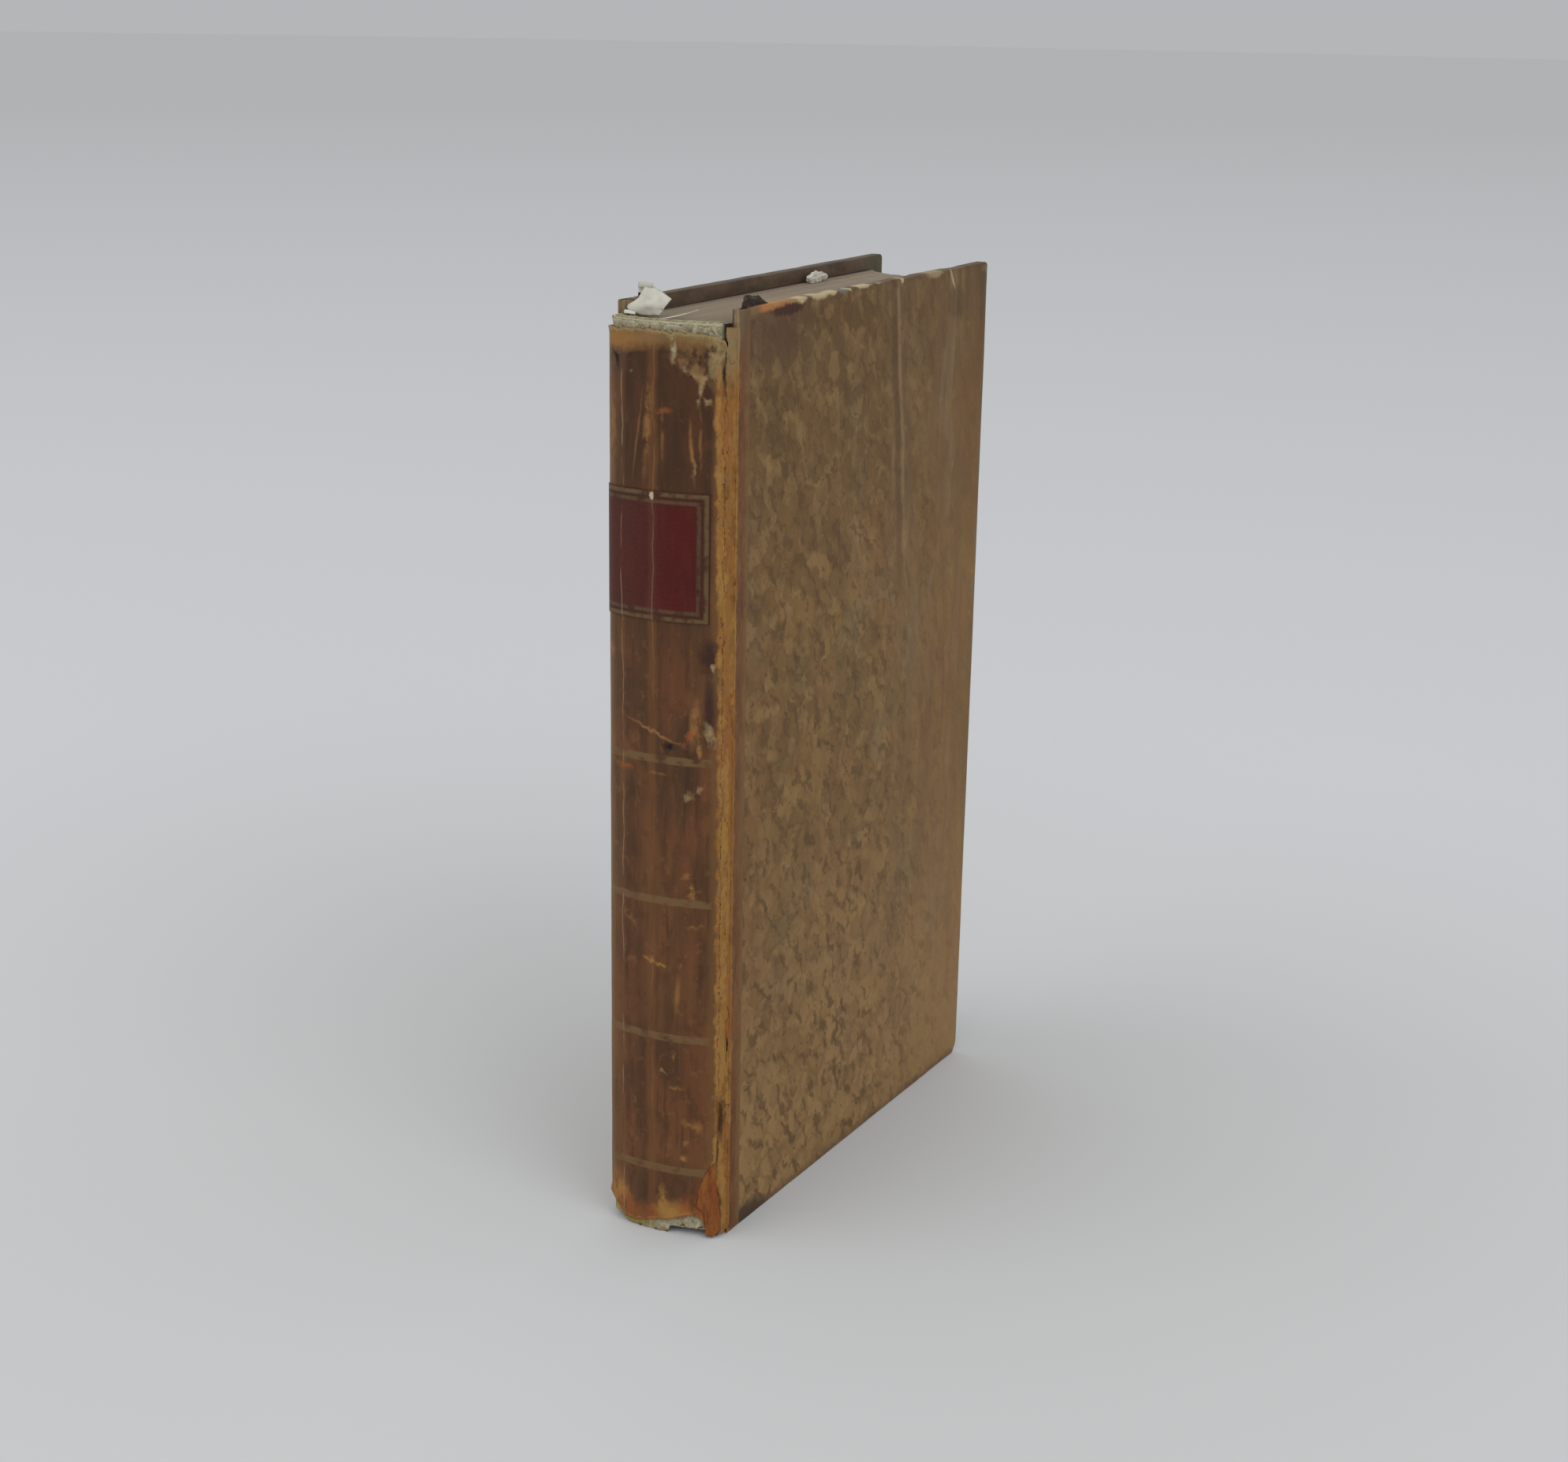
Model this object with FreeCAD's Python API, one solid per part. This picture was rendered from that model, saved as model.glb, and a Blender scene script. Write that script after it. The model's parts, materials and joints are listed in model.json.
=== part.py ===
"""Antique quarter-leather book, standing on its tail.

Leather covers the spine and a strip of each board, and decorated paper covers the rest.
The leaves are sewn on five sawn-in cords, whose slips are laced into the boards, and each
cover swings about the worn leather of its joint.

The binder's frame: X runs through the thickness with the front cover at +X, Y runs from
the joint to the fore edge, and Z runs from the tail up to the head. At the end the pieces
move so that the origin lies under the middle of the whole book, at the level it stands on.
"""
import FreeCAD
import Part
import math
import os

Vector = FreeCAD.Vector
OUT_DIR = "parts"

# Boards
BOARD_HEIGHT = 205.0
BOARD_WIDTH = 117.0
BOARD_CORE = 2.05
COVERING = 0.3
TURN_IN = 9.0
HEAD_CORNER_RADIUS = 1.2
FOOT_CORNER_RADIUS = 3.6
FORE_EDGE_BOW = 0.8
LEATHER_ON_BOARD = 5.0
PASTEDOWN = 0.15
PASTEDOWN_SQUARE = 3.0
PASTEDOWN_FORE_SQUARE = 8.5
BACK_COVER_SPLAY_DEG = 1.25

# Leaves
BLOCK_THICK = 22.4
BLOCK_SWELL = 1.9
HEAD_SQUARE = 3.2
TAIL_SQUARE = 3.0
FORE_SQUARE = 8.0
FORE_HOLLOW = 6.5
SHOULDER_DEG = 45.0

# Spine, whose crown has sagged towards the back cover
CROWN_RADIUS = 38.0
CROWN_SAG = 4.0
FRONT_ROLL_RADIUS = 4.0
FRONT_ROLL_DROP = 0.03
BACK_ROLL_RADIUS = 4.6
JOINT_RISE = 0.4
SPINE_LEATHER = 0.8
SPINE_LINING = 0.5
LINING_OVER_HEAD = 0.5
LINING_FOOT = 1.6
LEATHER_UNDER_LINING = 1.5
LEATHER_FOOT = 0.3

# Clearances
COVER_GAP = 0.3
JOINT_GAP = 0.4
JOINT_EDGE = 0.3
CORD_CLEARANCE = 0.05
EDGE_TOLERANCE = 0.05

# Cords and the slips laced into the boards
CORD_RADIUS = 0.6
CORD_COUNT = 5
CORD_SIDES = 8
CORD_FROM_TAIL = 26.0
CORD_FROM_HEAD = 27.0
SLIP_WIDTH = 2.4
SLIP_DEPTH = 0.7
SLIP_HOLE_Y = 10.0
SLIP_FAN_LENGTH = 5.0
SLIP_FAN_DEPTH = 0.4

# Title label
LABEL_THICK = 0.25
LABEL_HEIGHT = 27.2
LABEL_FROM_HEAD = 37.0
LABEL_FRONT_MARGIN = 2.9
LABEL_BACK_MARGIN = 1.0

# Endbands, worn flat
ENDBAND_DEPTH = 1.6
ENDBAND_HEIGHT = 0.7
ENDBAND_END_GAP = 1.5

# Torn bits left at the head
TORN_PAPER = 0.25
FLAP_WIDTH = 7.0
FLAP_HEIGHT = 6.6
FLAP_X = -7.8
FLAP_Y = 0.4
SLIVER_LENGTH = 9.5
SLIVER_WIDTH = 1.8
SLIVER_RISE = 1.5
SLIVER_X = -3.2
SLIVER_Y = -1.5
SLIVER_TURN_DEG = 62.0
SCRAP_LENGTH = 9.0
SCRAP_WIDTH = 1.4
SCRAP_HEIGHT = 2.4
SCRAP_Y = 74.0
FLAKE_THICK = 0.4
FLAKE_LENGTH = 11.0
FLAKE_HEIGHT = 1.9
FLAKE_Y = 2.6

# Torn lines of the leather at head and foot: place as a share of the spine's half width, and depth lost
HEAD_TORN = [(-0.7, 0.7), (-0.4, 0.3), (-0.18, 0.1), (0.07, 0.3), (0.2, 1.3), (0.31, 0.6), (0.52, 1.0),
             (0.65, 1.4), (0.79, 1.9), (0.88, 3.9), (0.92, 6.5)]
FOOT_TORN = [(-0.9, 5.6), (-0.78, 4.2), (-0.55, 0.9), (-0.36, 1.2), (-0.1, 2.1), (0.12, 2.6), (0.34, 3.5),
             (0.44, 4.3), (0.62, 4.6), (0.76, 4.2), (0.82, 1.2), (0.93, 0.2)]
TORN_REACH = 2.0

# Worked out from the sizes above
COVER_THICK = COVERING + BOARD_CORE + COVERING + PASTEDOWN
BLOCK_HALF = BLOCK_THICK / 2
COVER_INNER_X = BLOCK_HALF + COVER_GAP
COVER_OUTER_X = COVER_INNER_X + COVER_THICK
CORE_OUTER_X = COVER_OUTER_X - COVERING
CORE_INNER_X = CORE_OUTER_X - BOARD_CORE
TURNED_IN_X = CORE_INNER_X - COVERING
SPINE_HALF = COVER_OUTER_X - JOINT_GAP
BLOCK_INSET = SPINE_LEATHER + SPINE_LINING
BLOCK_TAIL_Z = TAIL_SQUARE
BLOCK_HEAD_Z = BOARD_HEIGHT - HEAD_SQUARE
BLOCK_FORE_Y = BOARD_WIDTH - FORE_SQUARE
LINING_HEAD_Z = BLOCK_HEAD_Z + LINING_OVER_HEAD
LEATHER_HEAD_Z = LINING_HEAD_Z - LEATHER_UNDER_LINING
JOINT_Y = -JOINT_RISE
CROWN_TO_ROLL_X = SPINE_HALF - FRONT_ROLL_RADIUS + CROWN_SAG
CROWN_TO_ROLL_Y = math.sqrt((CROWN_RADIUS - FRONT_ROLL_RADIUS) ** 2 - CROWN_TO_ROLL_X ** 2)
CROWN_Y = JOINT_Y - FRONT_ROLL_DROP + CROWN_TO_ROLL_Y
SPINE_PROUD = CROWN_RADIUS - CROWN_Y
HINGE_X = COVER_OUTER_X
HINGE_Y = JOINT_Y + COVER_GAP / 2
BOARD_START_Y = HINGE_Y + JOINT_EDGE
CORE_START_Y = BOARD_START_Y + COVERING
CORD_STEP = (BOARD_HEIGHT - CORD_FROM_HEAD - CORD_FROM_TAIL) / (CORD_COUNT - 1)
CORD_LEVELS = [CORD_FROM_TAIL + i * CORD_STEP for i in range(CORD_COUNT)]
LABEL_HIGH_Z = BOARD_HEIGHT - LABEL_FROM_HEAD
LABEL_LOW_Z = LABEL_HIGH_Z - LABEL_HEIGHT
KERF = 2 * (CORD_RADIUS + CORD_CLEARANCE)


def box(low, high):
    size = [high[i] - low[i] for i in range(3)]
    return Part.makeBox(size[0], size[1], size[2], Vector(*low))


def arc(centre, radius, start_deg, end_deg, z=0.0):
    """The arc of a level circle between two angles, counted from +X towards +Y."""
    angles = [start_deg, (start_deg + end_deg) / 2, end_deg]
    points = []
    for angle in angles:
        x = centre[0] + radius * math.cos(math.radians(angle))
        y = centre[1] + radius * math.sin(math.radians(angle))
        points.append(Vector(x, y, z))
    return Part.Arc(*points).toShape()


def line(start, end):
    return Part.LineSegment(Vector(*start), Vector(*end)).toShape()


def roll_centre(side, radius):
    """The middle of the rolled corner on one side (+1 is the front), tangent to the crown."""
    x = side * (SPINE_HALF - radius)
    y = CROWN_Y - math.sqrt((CROWN_RADIUS - radius) ** 2 - (x + CROWN_SAG) ** 2)
    return x, y


def back_curve(inset, z=0.0):
    """The curve of the spine from joint to joint: a flat crown between two rolled corners."""
    back = roll_centre(-1, BACK_ROLL_RADIUS)
    front = roll_centre(1, FRONT_ROLL_RADIUS)
    back_deg = math.degrees(math.atan2(back[1] - CROWN_Y, back[0] + CROWN_SAG)) % 360
    front_deg = math.degrees(math.atan2(front[1] - CROWN_Y, front[0] + CROWN_SAG)) % 360
    x = SPINE_HALF - inset
    return [
        line((-x, JOINT_Y, z), (-x, back[1], z)),
        arc(back, BACK_ROLL_RADIUS - inset, 180, back_deg, z),
        arc((-CROWN_SAG, CROWN_Y), CROWN_RADIUS - inset, back_deg, front_deg, z),
        arc(front, FRONT_ROLL_RADIUS - inset, front_deg, 360, z),
        line((x, front[1], z), (x, JOINT_Y, z)),
    ]


def back_band(outer_inset, inner_inset, low_z, high_z):
    """A layer that follows the spine, between two insets from its outer surface."""
    outer_x = SPINE_HALF - outer_inset
    inner_x = SPINE_HALF - inner_inset
    edges = back_curve(outer_inset, low_z) + back_curve(inner_inset, low_z)
    edges.append(line((-outer_x, JOINT_Y, low_z), (-inner_x, JOINT_Y, low_z)))
    edges.append(line((outer_x, JOINT_Y, low_z), (inner_x, JOINT_Y, low_z)))
    wire = Part.Wire(Part.__sortEdges__(edges))
    return Part.Face(wire).extrude(Vector(0, 0, high_z - low_z))


def lost_leather(torn_line, edge_z, inwards):
    """What has gone beyond a torn line along the head or the foot of the spine."""
    near_y = -2 * SPINE_PROUD
    end_x = SPINE_HALF + TORN_REACH
    beyond_z = edge_z - inwards * TORN_REACH
    torn = [(share * SPINE_HALF, edge_z + inwards * depth) for share, depth in torn_line]
    first_z = torn[0][1]
    last_z = torn[-1][1]
    outline = [(-end_x, beyond_z), (-end_x, first_z)] + torn + [(end_x, last_z), (end_x, beyond_z)]
    wire = Part.makePolygon([Vector(x, near_y, z) for x, z in outline + outline[:1]])
    return Part.Face(wire).extrude(Vector(0, JOINT_Y + SPINE_PROUD - near_y, 0))


def cord_across_back(z):
    """One sewing cord, bent over the backs of the gatherings and down each shoulder."""
    inset = BLOCK_INSET + CORD_RADIUS + CORD_CLEARANCE
    path = Part.Wire(back_curve(inset, z))
    start_x = inset - SPINE_HALF
    corners = []
    for side in range(CORD_SIDES + 1):
        turn = 2 * math.pi * (side + 0.5) / CORD_SIDES
        corners.append(Vector(start_x + CORD_RADIUS * math.cos(turn), JOINT_Y,
                              z + CORD_RADIUS * math.sin(turn)))
    section = Part.makePolygon(corners)
    return path.makePipeShell([section], True, True)


def text_block():
    """The sewn leaves: a backed spine with shoulders, sawn kerfs and a hollow fore edge."""
    tip_x = SPINE_HALF - BLOCK_INSET
    shoulder_y = JOINT_Y + (tip_x - BLOCK_HALF) * math.tan(math.radians(SHOULDER_DEG))
    swollen_x = -BLOCK_HALF - BLOCK_SWELL
    z = BLOCK_TAIL_Z
    hollow = Part.Arc(
        Vector(BLOCK_HALF, BLOCK_FORE_Y, z),
        Vector(-BLOCK_SWELL / 2, BLOCK_FORE_Y - FORE_HOLLOW, z),
        Vector(swollen_x, BLOCK_FORE_Y, z),
    ).toShape()
    edges = back_curve(BLOCK_INSET, z) + [
        line((tip_x, JOINT_Y, z), (BLOCK_HALF, shoulder_y, z)),
        line((BLOCK_HALF, shoulder_y, z), (BLOCK_HALF, BLOCK_FORE_Y, z)),
        hollow,
        line((swollen_x, BLOCK_FORE_Y, z), (-BLOCK_HALF, shoulder_y, z)),
        line((-BLOCK_HALF, shoulder_y, z), (-tip_x, JOINT_Y, z)),
    ]
    outline = Part.Face(Part.Wire(Part.__sortEdges__(edges)))
    block = outline.extrude(Vector(0, 0, BLOCK_HEAD_Z - BLOCK_TAIL_Z))
    kerfs = [back_band(BLOCK_INSET, BLOCK_INSET + KERF, level - KERF / 2, level + KERF / 2)
             for level in CORD_LEVELS]
    return block.cut(kerfs)


def spine_lining():
    return back_band(SPINE_LEATHER, BLOCK_INSET, LINING_FOOT, LINING_HEAD_Z)


def spine_leather():
    leather = back_band(0, SPINE_LEATHER, LEATHER_FOOT, LEATHER_HEAD_Z)
    at_head = lost_leather(HEAD_TORN, LEATHER_HEAD_Z, -1)
    at_foot = lost_leather(FOOT_TORN, LEATHER_FOOT, 1)
    return leather.cut([at_head, at_foot])


def title_label():
    band = back_band(-LABEL_THICK, 0, LABEL_LOW_Z, LABEL_HIGH_Z)
    keep = box((LABEL_BACK_MARGIN - SPINE_HALF, -2 * SPINE_PROUD, LABEL_LOW_Z),
               (SPINE_HALF - LABEL_FRONT_MARGIN, JOINT_Y, LABEL_HIGH_Z))
    return band.common(keep)


def endband(low_z):
    """A flattened band across the end of the leaves, just inside the lining."""
    band = back_band(BLOCK_INSET, BLOCK_INSET + ENDBAND_DEPTH, low_z, low_z + ENDBAND_HEIGHT)
    half = SPINE_HALF - BLOCK_INSET - ENDBAND_END_GAP
    keep = box((-half, -2 * SPINE_PROUD, low_z), (half, SPINE_PROUD, low_z + ENDBAND_HEIGHT))
    return band.common(keep)


def torn_paper_flap():
    """A torn corner of a leaf, bent up from the head: five straight torn sides."""
    outline = [(-0.45, 0), (0.4, 0), (0.62, 0.5), (0.0, 1.0), (-0.6, 0.28)]
    points = [Vector(FLAP_X + FLAP_WIDTH * u, FLAP_Y, BLOCK_HEAD_Z + FLAP_HEIGHT * v) for u, v in outline]
    sheet = Part.Face(Part.makePolygon(points + points[:1]))
    return sheet.extrude(Vector(0, TORN_PAPER, 0))


def lifted_sliver():
    """A narrow strip of the top leaf, torn loose and lifting away from the head."""
    points = [
        Vector(0, 0, 0),
        Vector(SLIVER_LENGTH, 0, SLIVER_RISE),
        Vector(SLIVER_LENGTH, 0, SLIVER_RISE + TORN_PAPER),
        Vector(0, 0, TORN_PAPER),
    ]
    strip = Part.Face(Part.makePolygon(points + points[:1])).extrude(Vector(0, SLIVER_WIDTH, 0))
    strip.rotate(Vector(0, 0, 0), Vector(0, 0, 1), SLIVER_TURN_DEG)
    strip.translate(Vector(SLIVER_X, SLIVER_Y, BLOCK_HEAD_Z))
    return strip


def paper_scrap():
    """A crumpled ridge of torn paper on the head, beside the back cover."""
    outer_x = -BLOCK_HALF + SCRAP_WIDTH / 4
    profile = [(0, 0), (0.15, 0.8), (0.4, 0.55), (0.62, 1.0), (0.8, 0.35), (1.0, 0)]
    points = [Vector(outer_x, SCRAP_Y + SCRAP_LENGTH * (u - 0.5), BLOCK_HEAD_Z + SCRAP_HEIGHT * v)
              for u, v in profile]
    ridge = Part.Face(Part.makePolygon(points + points[:1]))
    return ridge.extrude(Vector(SCRAP_WIDTH, 0, 0))


def board_outline(x, inset, start_y):
    """The face of a board at one x: square at the joint, with a bowed fore edge and soft corners."""
    low_z = inset
    high_z = BOARD_HEIGHT - inset
    corner_y = BOARD_WIDTH - FORE_EDGE_BOW - inset
    bowed_y = BOARD_WIDTH - inset
    edges = [
        line((x, start_y, low_z), (x, corner_y, low_z)),
        Part.Arc(Vector(x, corner_y, low_z), Vector(x, bowed_y, BOARD_HEIGHT / 2),
                 Vector(x, corner_y, high_z)).toShape(),
        line((x, corner_y, high_z), (x, start_y, high_z)),
        line((x, start_y, high_z), (x, start_y, low_z)),
    ]
    return Part.Face(Part.Wire(edges))


def slab(low_x, high_x, inset, start_y):
    """A board-shaped slab, whose fore corner is still sharp at the head and worn round at the foot."""
    solid = board_outline(low_x, inset, start_y).extrude(Vector(high_x - low_x, 0, 0))
    for at_head, radius in ((True, HEAD_CORNER_RADIUS), (False, FOOT_CORNER_RADIUS)):
        corners = [e for e in solid.Edges
                   if e.BoundBox.YLength < EDGE_TOLERANCE and e.BoundBox.ZLength < EDGE_TOLERANCE
                   and e.BoundBox.YMin > BOARD_WIDTH / 2
                   and (e.BoundBox.ZMin > BOARD_HEIGHT / 2) == at_head]
        solid = solid.makeFillet(radius - inset, corners)
    return solid


def board_core():
    """The pasteboard, with its joint edge bevelled to clear the shoulder of the leaves."""
    core = slab(CORE_INNER_X, CORE_OUTER_X, COVERING, CORE_START_Y)
    bevel = [
        Vector(CORE_OUTER_X, CORE_START_Y, 0),
        Vector(CORE_INNER_X, CORE_START_Y + BOARD_CORE, 0),
        Vector(CORE_INNER_X, CORE_START_Y - BOARD_CORE, 0),
        Vector(CORE_OUTER_X, CORE_START_Y - BOARD_CORE, 0),
    ]
    wedge = Part.Face(Part.makePolygon(bevel + bevel[:1])).extrude(Vector(0, 0, BOARD_HEIGHT))
    return core.cut(wedge)


def slip(level):
    """One cord slip: flat in its channel, down through the board and fanned out inside."""
    start_y = CORE_START_Y + SLIP_DEPTH
    half = SLIP_WIDTH / 2
    strip = box((CORE_OUTER_X - SLIP_DEPTH, start_y, level - half),
                (CORE_OUTER_X, SLIP_HOLE_Y, level + half))
    pin = Part.makeCylinder(half, BOARD_CORE, Vector(CORE_INNER_X, SLIP_HOLE_Y, level), Vector(1, 0, 0))
    fan_end_y = SLIP_HOLE_Y + SLIP_FAN_LENGTH
    outline = [
        Vector(CORE_INNER_X, SLIP_HOLE_Y, level - half),
        Vector(CORE_INNER_X, fan_end_y, level - SLIP_WIDTH),
        Vector(CORE_INNER_X, fan_end_y, level + SLIP_WIDTH),
        Vector(CORE_INNER_X, SLIP_HOLE_Y, level + half),
    ]
    fan = Part.Face(Part.makePolygon(outline + outline[:1])).extrude(Vector(SLIP_FAN_DEPTH, 0, 0))
    return strip.fuse([pin, fan]).removeSplitter()


def covering():
    """Leather and paper as one skin: over the outside, round three edges and turned in."""
    skin = slab(TURNED_IN_X, COVER_OUTER_X, 0, BOARD_START_Y)
    hollow = slab(CORE_INNER_X, CORE_OUTER_X, COVERING, BOARD_START_Y - COVERING)
    window = box((TURNED_IN_X - COVERING, BOARD_START_Y - COVERING, TURN_IN),
                 (CORE_INNER_X, BOARD_WIDTH - TURN_IN, BOARD_HEIGHT - TURN_IN))
    bevel = box((TURNED_IN_X - COVERING, BOARD_START_Y - COVERING, -COVERING),
                (CORE_OUTER_X, CORE_START_Y + BOARD_CORE, BOARD_HEIGHT + COVERING))
    return skin.cut([hollow, window, bevel])


def joint_leather(skin):
    keep = box((0, BOARD_START_Y - COVERING, -COVERING),
               (2 * COVER_OUTER_X, BOARD_START_Y + LEATHER_ON_BOARD, BOARD_HEIGHT + COVERING))
    return skin.common(keep)


def side_paper(skin):
    drop = box((0, BOARD_START_Y - COVERING, -COVERING),
               (2 * COVER_OUTER_X, BOARD_START_Y + LEATHER_ON_BOARD, BOARD_HEIGHT + COVERING))
    return skin.cut(drop)


def pastedown(skin):
    """The sheet pasted inside the board, laid over the turned-in edges."""
    sheet = box((COVER_INNER_X, CORE_START_Y + BOARD_CORE, PASTEDOWN_SQUARE),
                (CORE_INNER_X, BOARD_WIDTH - PASTEDOWN_FORE_SQUARE, BOARD_HEIGHT - PASTEDOWN_SQUARE))
    return sheet.cut(skin)


def lifted_flake():
    """A flake of leather that has lifted from the head edge of the front board."""
    outer_x = COVER_OUTER_X - COVERING
    low_z = BOARD_HEIGHT
    profile = [(0, 0), (0.12, 0.7), (0.35, 1.0), (0.8, 0.85), (1.0, 0.1), (0.95, 0)]
    points = [Vector(outer_x, FLAKE_Y + FLAKE_LENGTH * u, low_z + FLAKE_HEIGHT * v) for u, v in profile]
    return Part.Face(Part.makePolygon(points + points[:1])).extrude(Vector(-FLAKE_THICK, 0, 0))


def cover_pieces():
    """The pieces of one cover, as they lie on the front of the book."""
    slips = [slip(level) for level in CORD_LEVELS]
    skin = covering()
    pieces = {
        "board": board_core().cut(slips),
        "side_paper": side_paper(skin),
        "joint_leather": joint_leather(skin),
        "pastedown": pastedown(skin),
    }
    for number, shape in enumerate(slips, 1):
        pieces["slip_%d" % number] = shape
    return pieces


def back_side(shape):
    """The same piece on the back of the book, whose cover stands a little open."""
    turned = shape.mirror(Vector(0, 0, 0), Vector(1, 0, 0))
    turned.rotate(Vector(-HINGE_X, HINGE_Y, 0), Vector(0, 0, 1), BACK_COVER_SPLAY_DEG)
    return turned


def book():
    nodes = {
        "text_block": text_block(),
        "spine_lining": spine_lining(),
        "spine_leather": spine_leather(),
        "title_label": title_label(),
        "headband": endband(BLOCK_HEAD_Z),
        "tailband": endband(BLOCK_TAIL_Z - ENDBAND_HEIGHT),
        "torn_paper_flap": torn_paper_flap(),
        "lifted_sliver": lifted_sliver(),
        "paper_scrap": paper_scrap(),
    }
    for number, level in enumerate(CORD_LEVELS, 1):
        nodes["sewing_cord_%d" % number] = cord_across_back(level)
    for name, shape in cover_pieces().items():
        nodes["front_" + name] = shape
        nodes["back_" + name] = back_side(shape)
    nodes["front_lifted_flake"] = lifted_flake()
    return nodes


def main():
    os.makedirs(OUT_DIR, exist_ok=True)
    nodes = book()
    whole = Part.makeCompound(list(nodes.values())).BoundBox
    offset = Vector(-(whole.XMin + whole.XMax) / 2, -(whole.YMin + whole.YMax) / 2, 0)
    for name, shape in nodes.items():
        shape.translate(offset)
        shape.exportStep("%s/%s.step" % (OUT_DIR, name))
        print(name, len(shape.Solids), shape.isValid(), round(shape.Volume, 1))
    print("offset", offset)
    print("front hinge", HINGE_X + offset.x, HINGE_Y + offset.y)
    print("back hinge", -HINGE_X + offset.x, HINGE_Y + offset.y)


main()
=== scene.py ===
# %% [markdown]
# # An antique quarter-leather book
# The book stands on its tail, with worn calf over a rounded spine and sprinkled brown paper on
# its boards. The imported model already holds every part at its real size, so this lesson gives
# each part its finish, and builds again only what age has torn, cracked or curled.

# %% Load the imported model
import json
import math
import random

import bmesh
import bpy
from mathutils import Matrix, Vector, noise


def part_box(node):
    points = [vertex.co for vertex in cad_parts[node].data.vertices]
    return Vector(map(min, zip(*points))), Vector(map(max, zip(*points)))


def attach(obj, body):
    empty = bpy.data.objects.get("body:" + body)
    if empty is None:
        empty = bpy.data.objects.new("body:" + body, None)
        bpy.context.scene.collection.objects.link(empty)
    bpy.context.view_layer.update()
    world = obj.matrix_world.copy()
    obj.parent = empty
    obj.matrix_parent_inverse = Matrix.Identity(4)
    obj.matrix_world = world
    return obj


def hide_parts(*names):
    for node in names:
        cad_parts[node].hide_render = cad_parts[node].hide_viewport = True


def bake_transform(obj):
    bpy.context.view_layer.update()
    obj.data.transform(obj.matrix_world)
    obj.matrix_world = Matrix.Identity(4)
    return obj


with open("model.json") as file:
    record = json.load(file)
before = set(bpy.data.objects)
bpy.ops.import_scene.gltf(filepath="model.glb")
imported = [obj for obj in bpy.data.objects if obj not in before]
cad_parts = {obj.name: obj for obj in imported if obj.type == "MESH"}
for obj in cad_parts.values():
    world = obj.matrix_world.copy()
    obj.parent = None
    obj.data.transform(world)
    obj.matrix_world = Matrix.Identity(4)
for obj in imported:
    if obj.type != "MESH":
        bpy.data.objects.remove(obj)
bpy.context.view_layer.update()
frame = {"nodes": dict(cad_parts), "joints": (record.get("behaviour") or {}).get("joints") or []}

MM = 0.001
nodes = frame["nodes"]

# %% [markdown]
# ## Places on the book
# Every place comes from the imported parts, so nothing has to be fitted by eye. A bookbinder
# measures from the joint and from the tail, so this lesson does the same: across the spine from
# its middle, across a board from the joint, and up from the tail.

# %% Measure the spine and the joint
spine_low, spine_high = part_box("spine_leather")
block_low, block_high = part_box("text_block")
SPINE_MIDDLE = (spine_low.x + spine_high.x) / 2
SPINE_HALF = (spine_high.x - spine_low.x) / 2
JOINT_Y = spine_high.y
ORIGIN_MM = (SPINE_MIDDLE / MM, JOINT_Y / MM, 0.0)
# The back cover gapes a little. It was made parallel to the front one and then turned this much.
BACK_SPLAY = math.radians(1.25)
print("spine", round(2 * SPINE_HALF / MM, 2), "mm wide, joint at", round(JOINT_Y / MM, 2))


def at(x, y, z):
    """A point in metres from millimetres across the spine, back from the joint and up from the tail."""
    return Vector((SPINE_MIDDLE + x * MM, JOINT_Y + y * MM, z * MM))


# %% [markdown]
# ## Camera
# The camera stands a little above the book and looks at the corner where the spine meets the
# front board. Three turns, about the upright, the camera's own side and its own view line, are
# easier to read than a matrix.

# %% Camera
CAMERA_PLACE = (0.2643, -0.4705, 0.2650)
CAMERA_AZIMUTH = math.radians(29.62)
CAMERA_ELEVATION = math.radians(16.92)
CAMERA_ROLL = math.radians(1.05)
LENS_MM = 55.53
SENSOR_MM = 36.0

lens = bpy.data.cameras.new("camera")
lens.lens = LENS_MM
lens.sensor_width = SENSOR_MM
lens.clip_start = 0.01
lens.clip_end = 100.0
camera = bpy.data.objects.new("camera", lens)
bpy.context.scene.collection.objects.link(camera)
turn = Matrix.Rotation(CAMERA_AZIMUTH, 4, "Z")
tilt = Matrix.Rotation(math.pi / 2 - CAMERA_ELEVATION, 4, "X")
roll = Matrix.Rotation(CAMERA_ROLL, 4, "Z")
camera.matrix_world = Matrix.Translation(CAMERA_PLACE) @ turn @ tilt @ roll
bpy.context.scene.camera = camera
bpy.context.scene.view_settings.view_transform = "Standard"
print("camera at", CAMERA_PLACE)

# %% [markdown]
# ## One helper for nodes
# A material is a small graph. One function adds a node, sets it up, links or fills its inputs
# and gives back the output that the next node needs. Colours are written as the sRGB hex values
# that a paint program shows, and one function makes them linear.

# %% Helpers for materials


def linear(code):
    """The linear colour of an sRGB hex value."""
    channels = [int(code[i:i + 2], 16) / 255 for i in (1, 3, 5)]
    straight = [c / 12.92 if c <= 0.04045 else ((c + 0.055) / 1.055) ** 2.4 for c in channels]
    return (*straight, 1.0)


def add(tree, kind, inputs, out=0, **settings):
    """Adds a node, sets it, fills its inputs with values or links, and returns one output."""
    node = tree.nodes.new("ShaderNode" + kind)
    for name, value in settings.items():
        setattr(node, name, value)
    for key, value in inputs.items():
        if isinstance(value, bpy.types.NodeSocket):
            tree.links.new(value, node.inputs[key])
        else:
            node.inputs[key].default_value = value
    return node.outputs[out]


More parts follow.
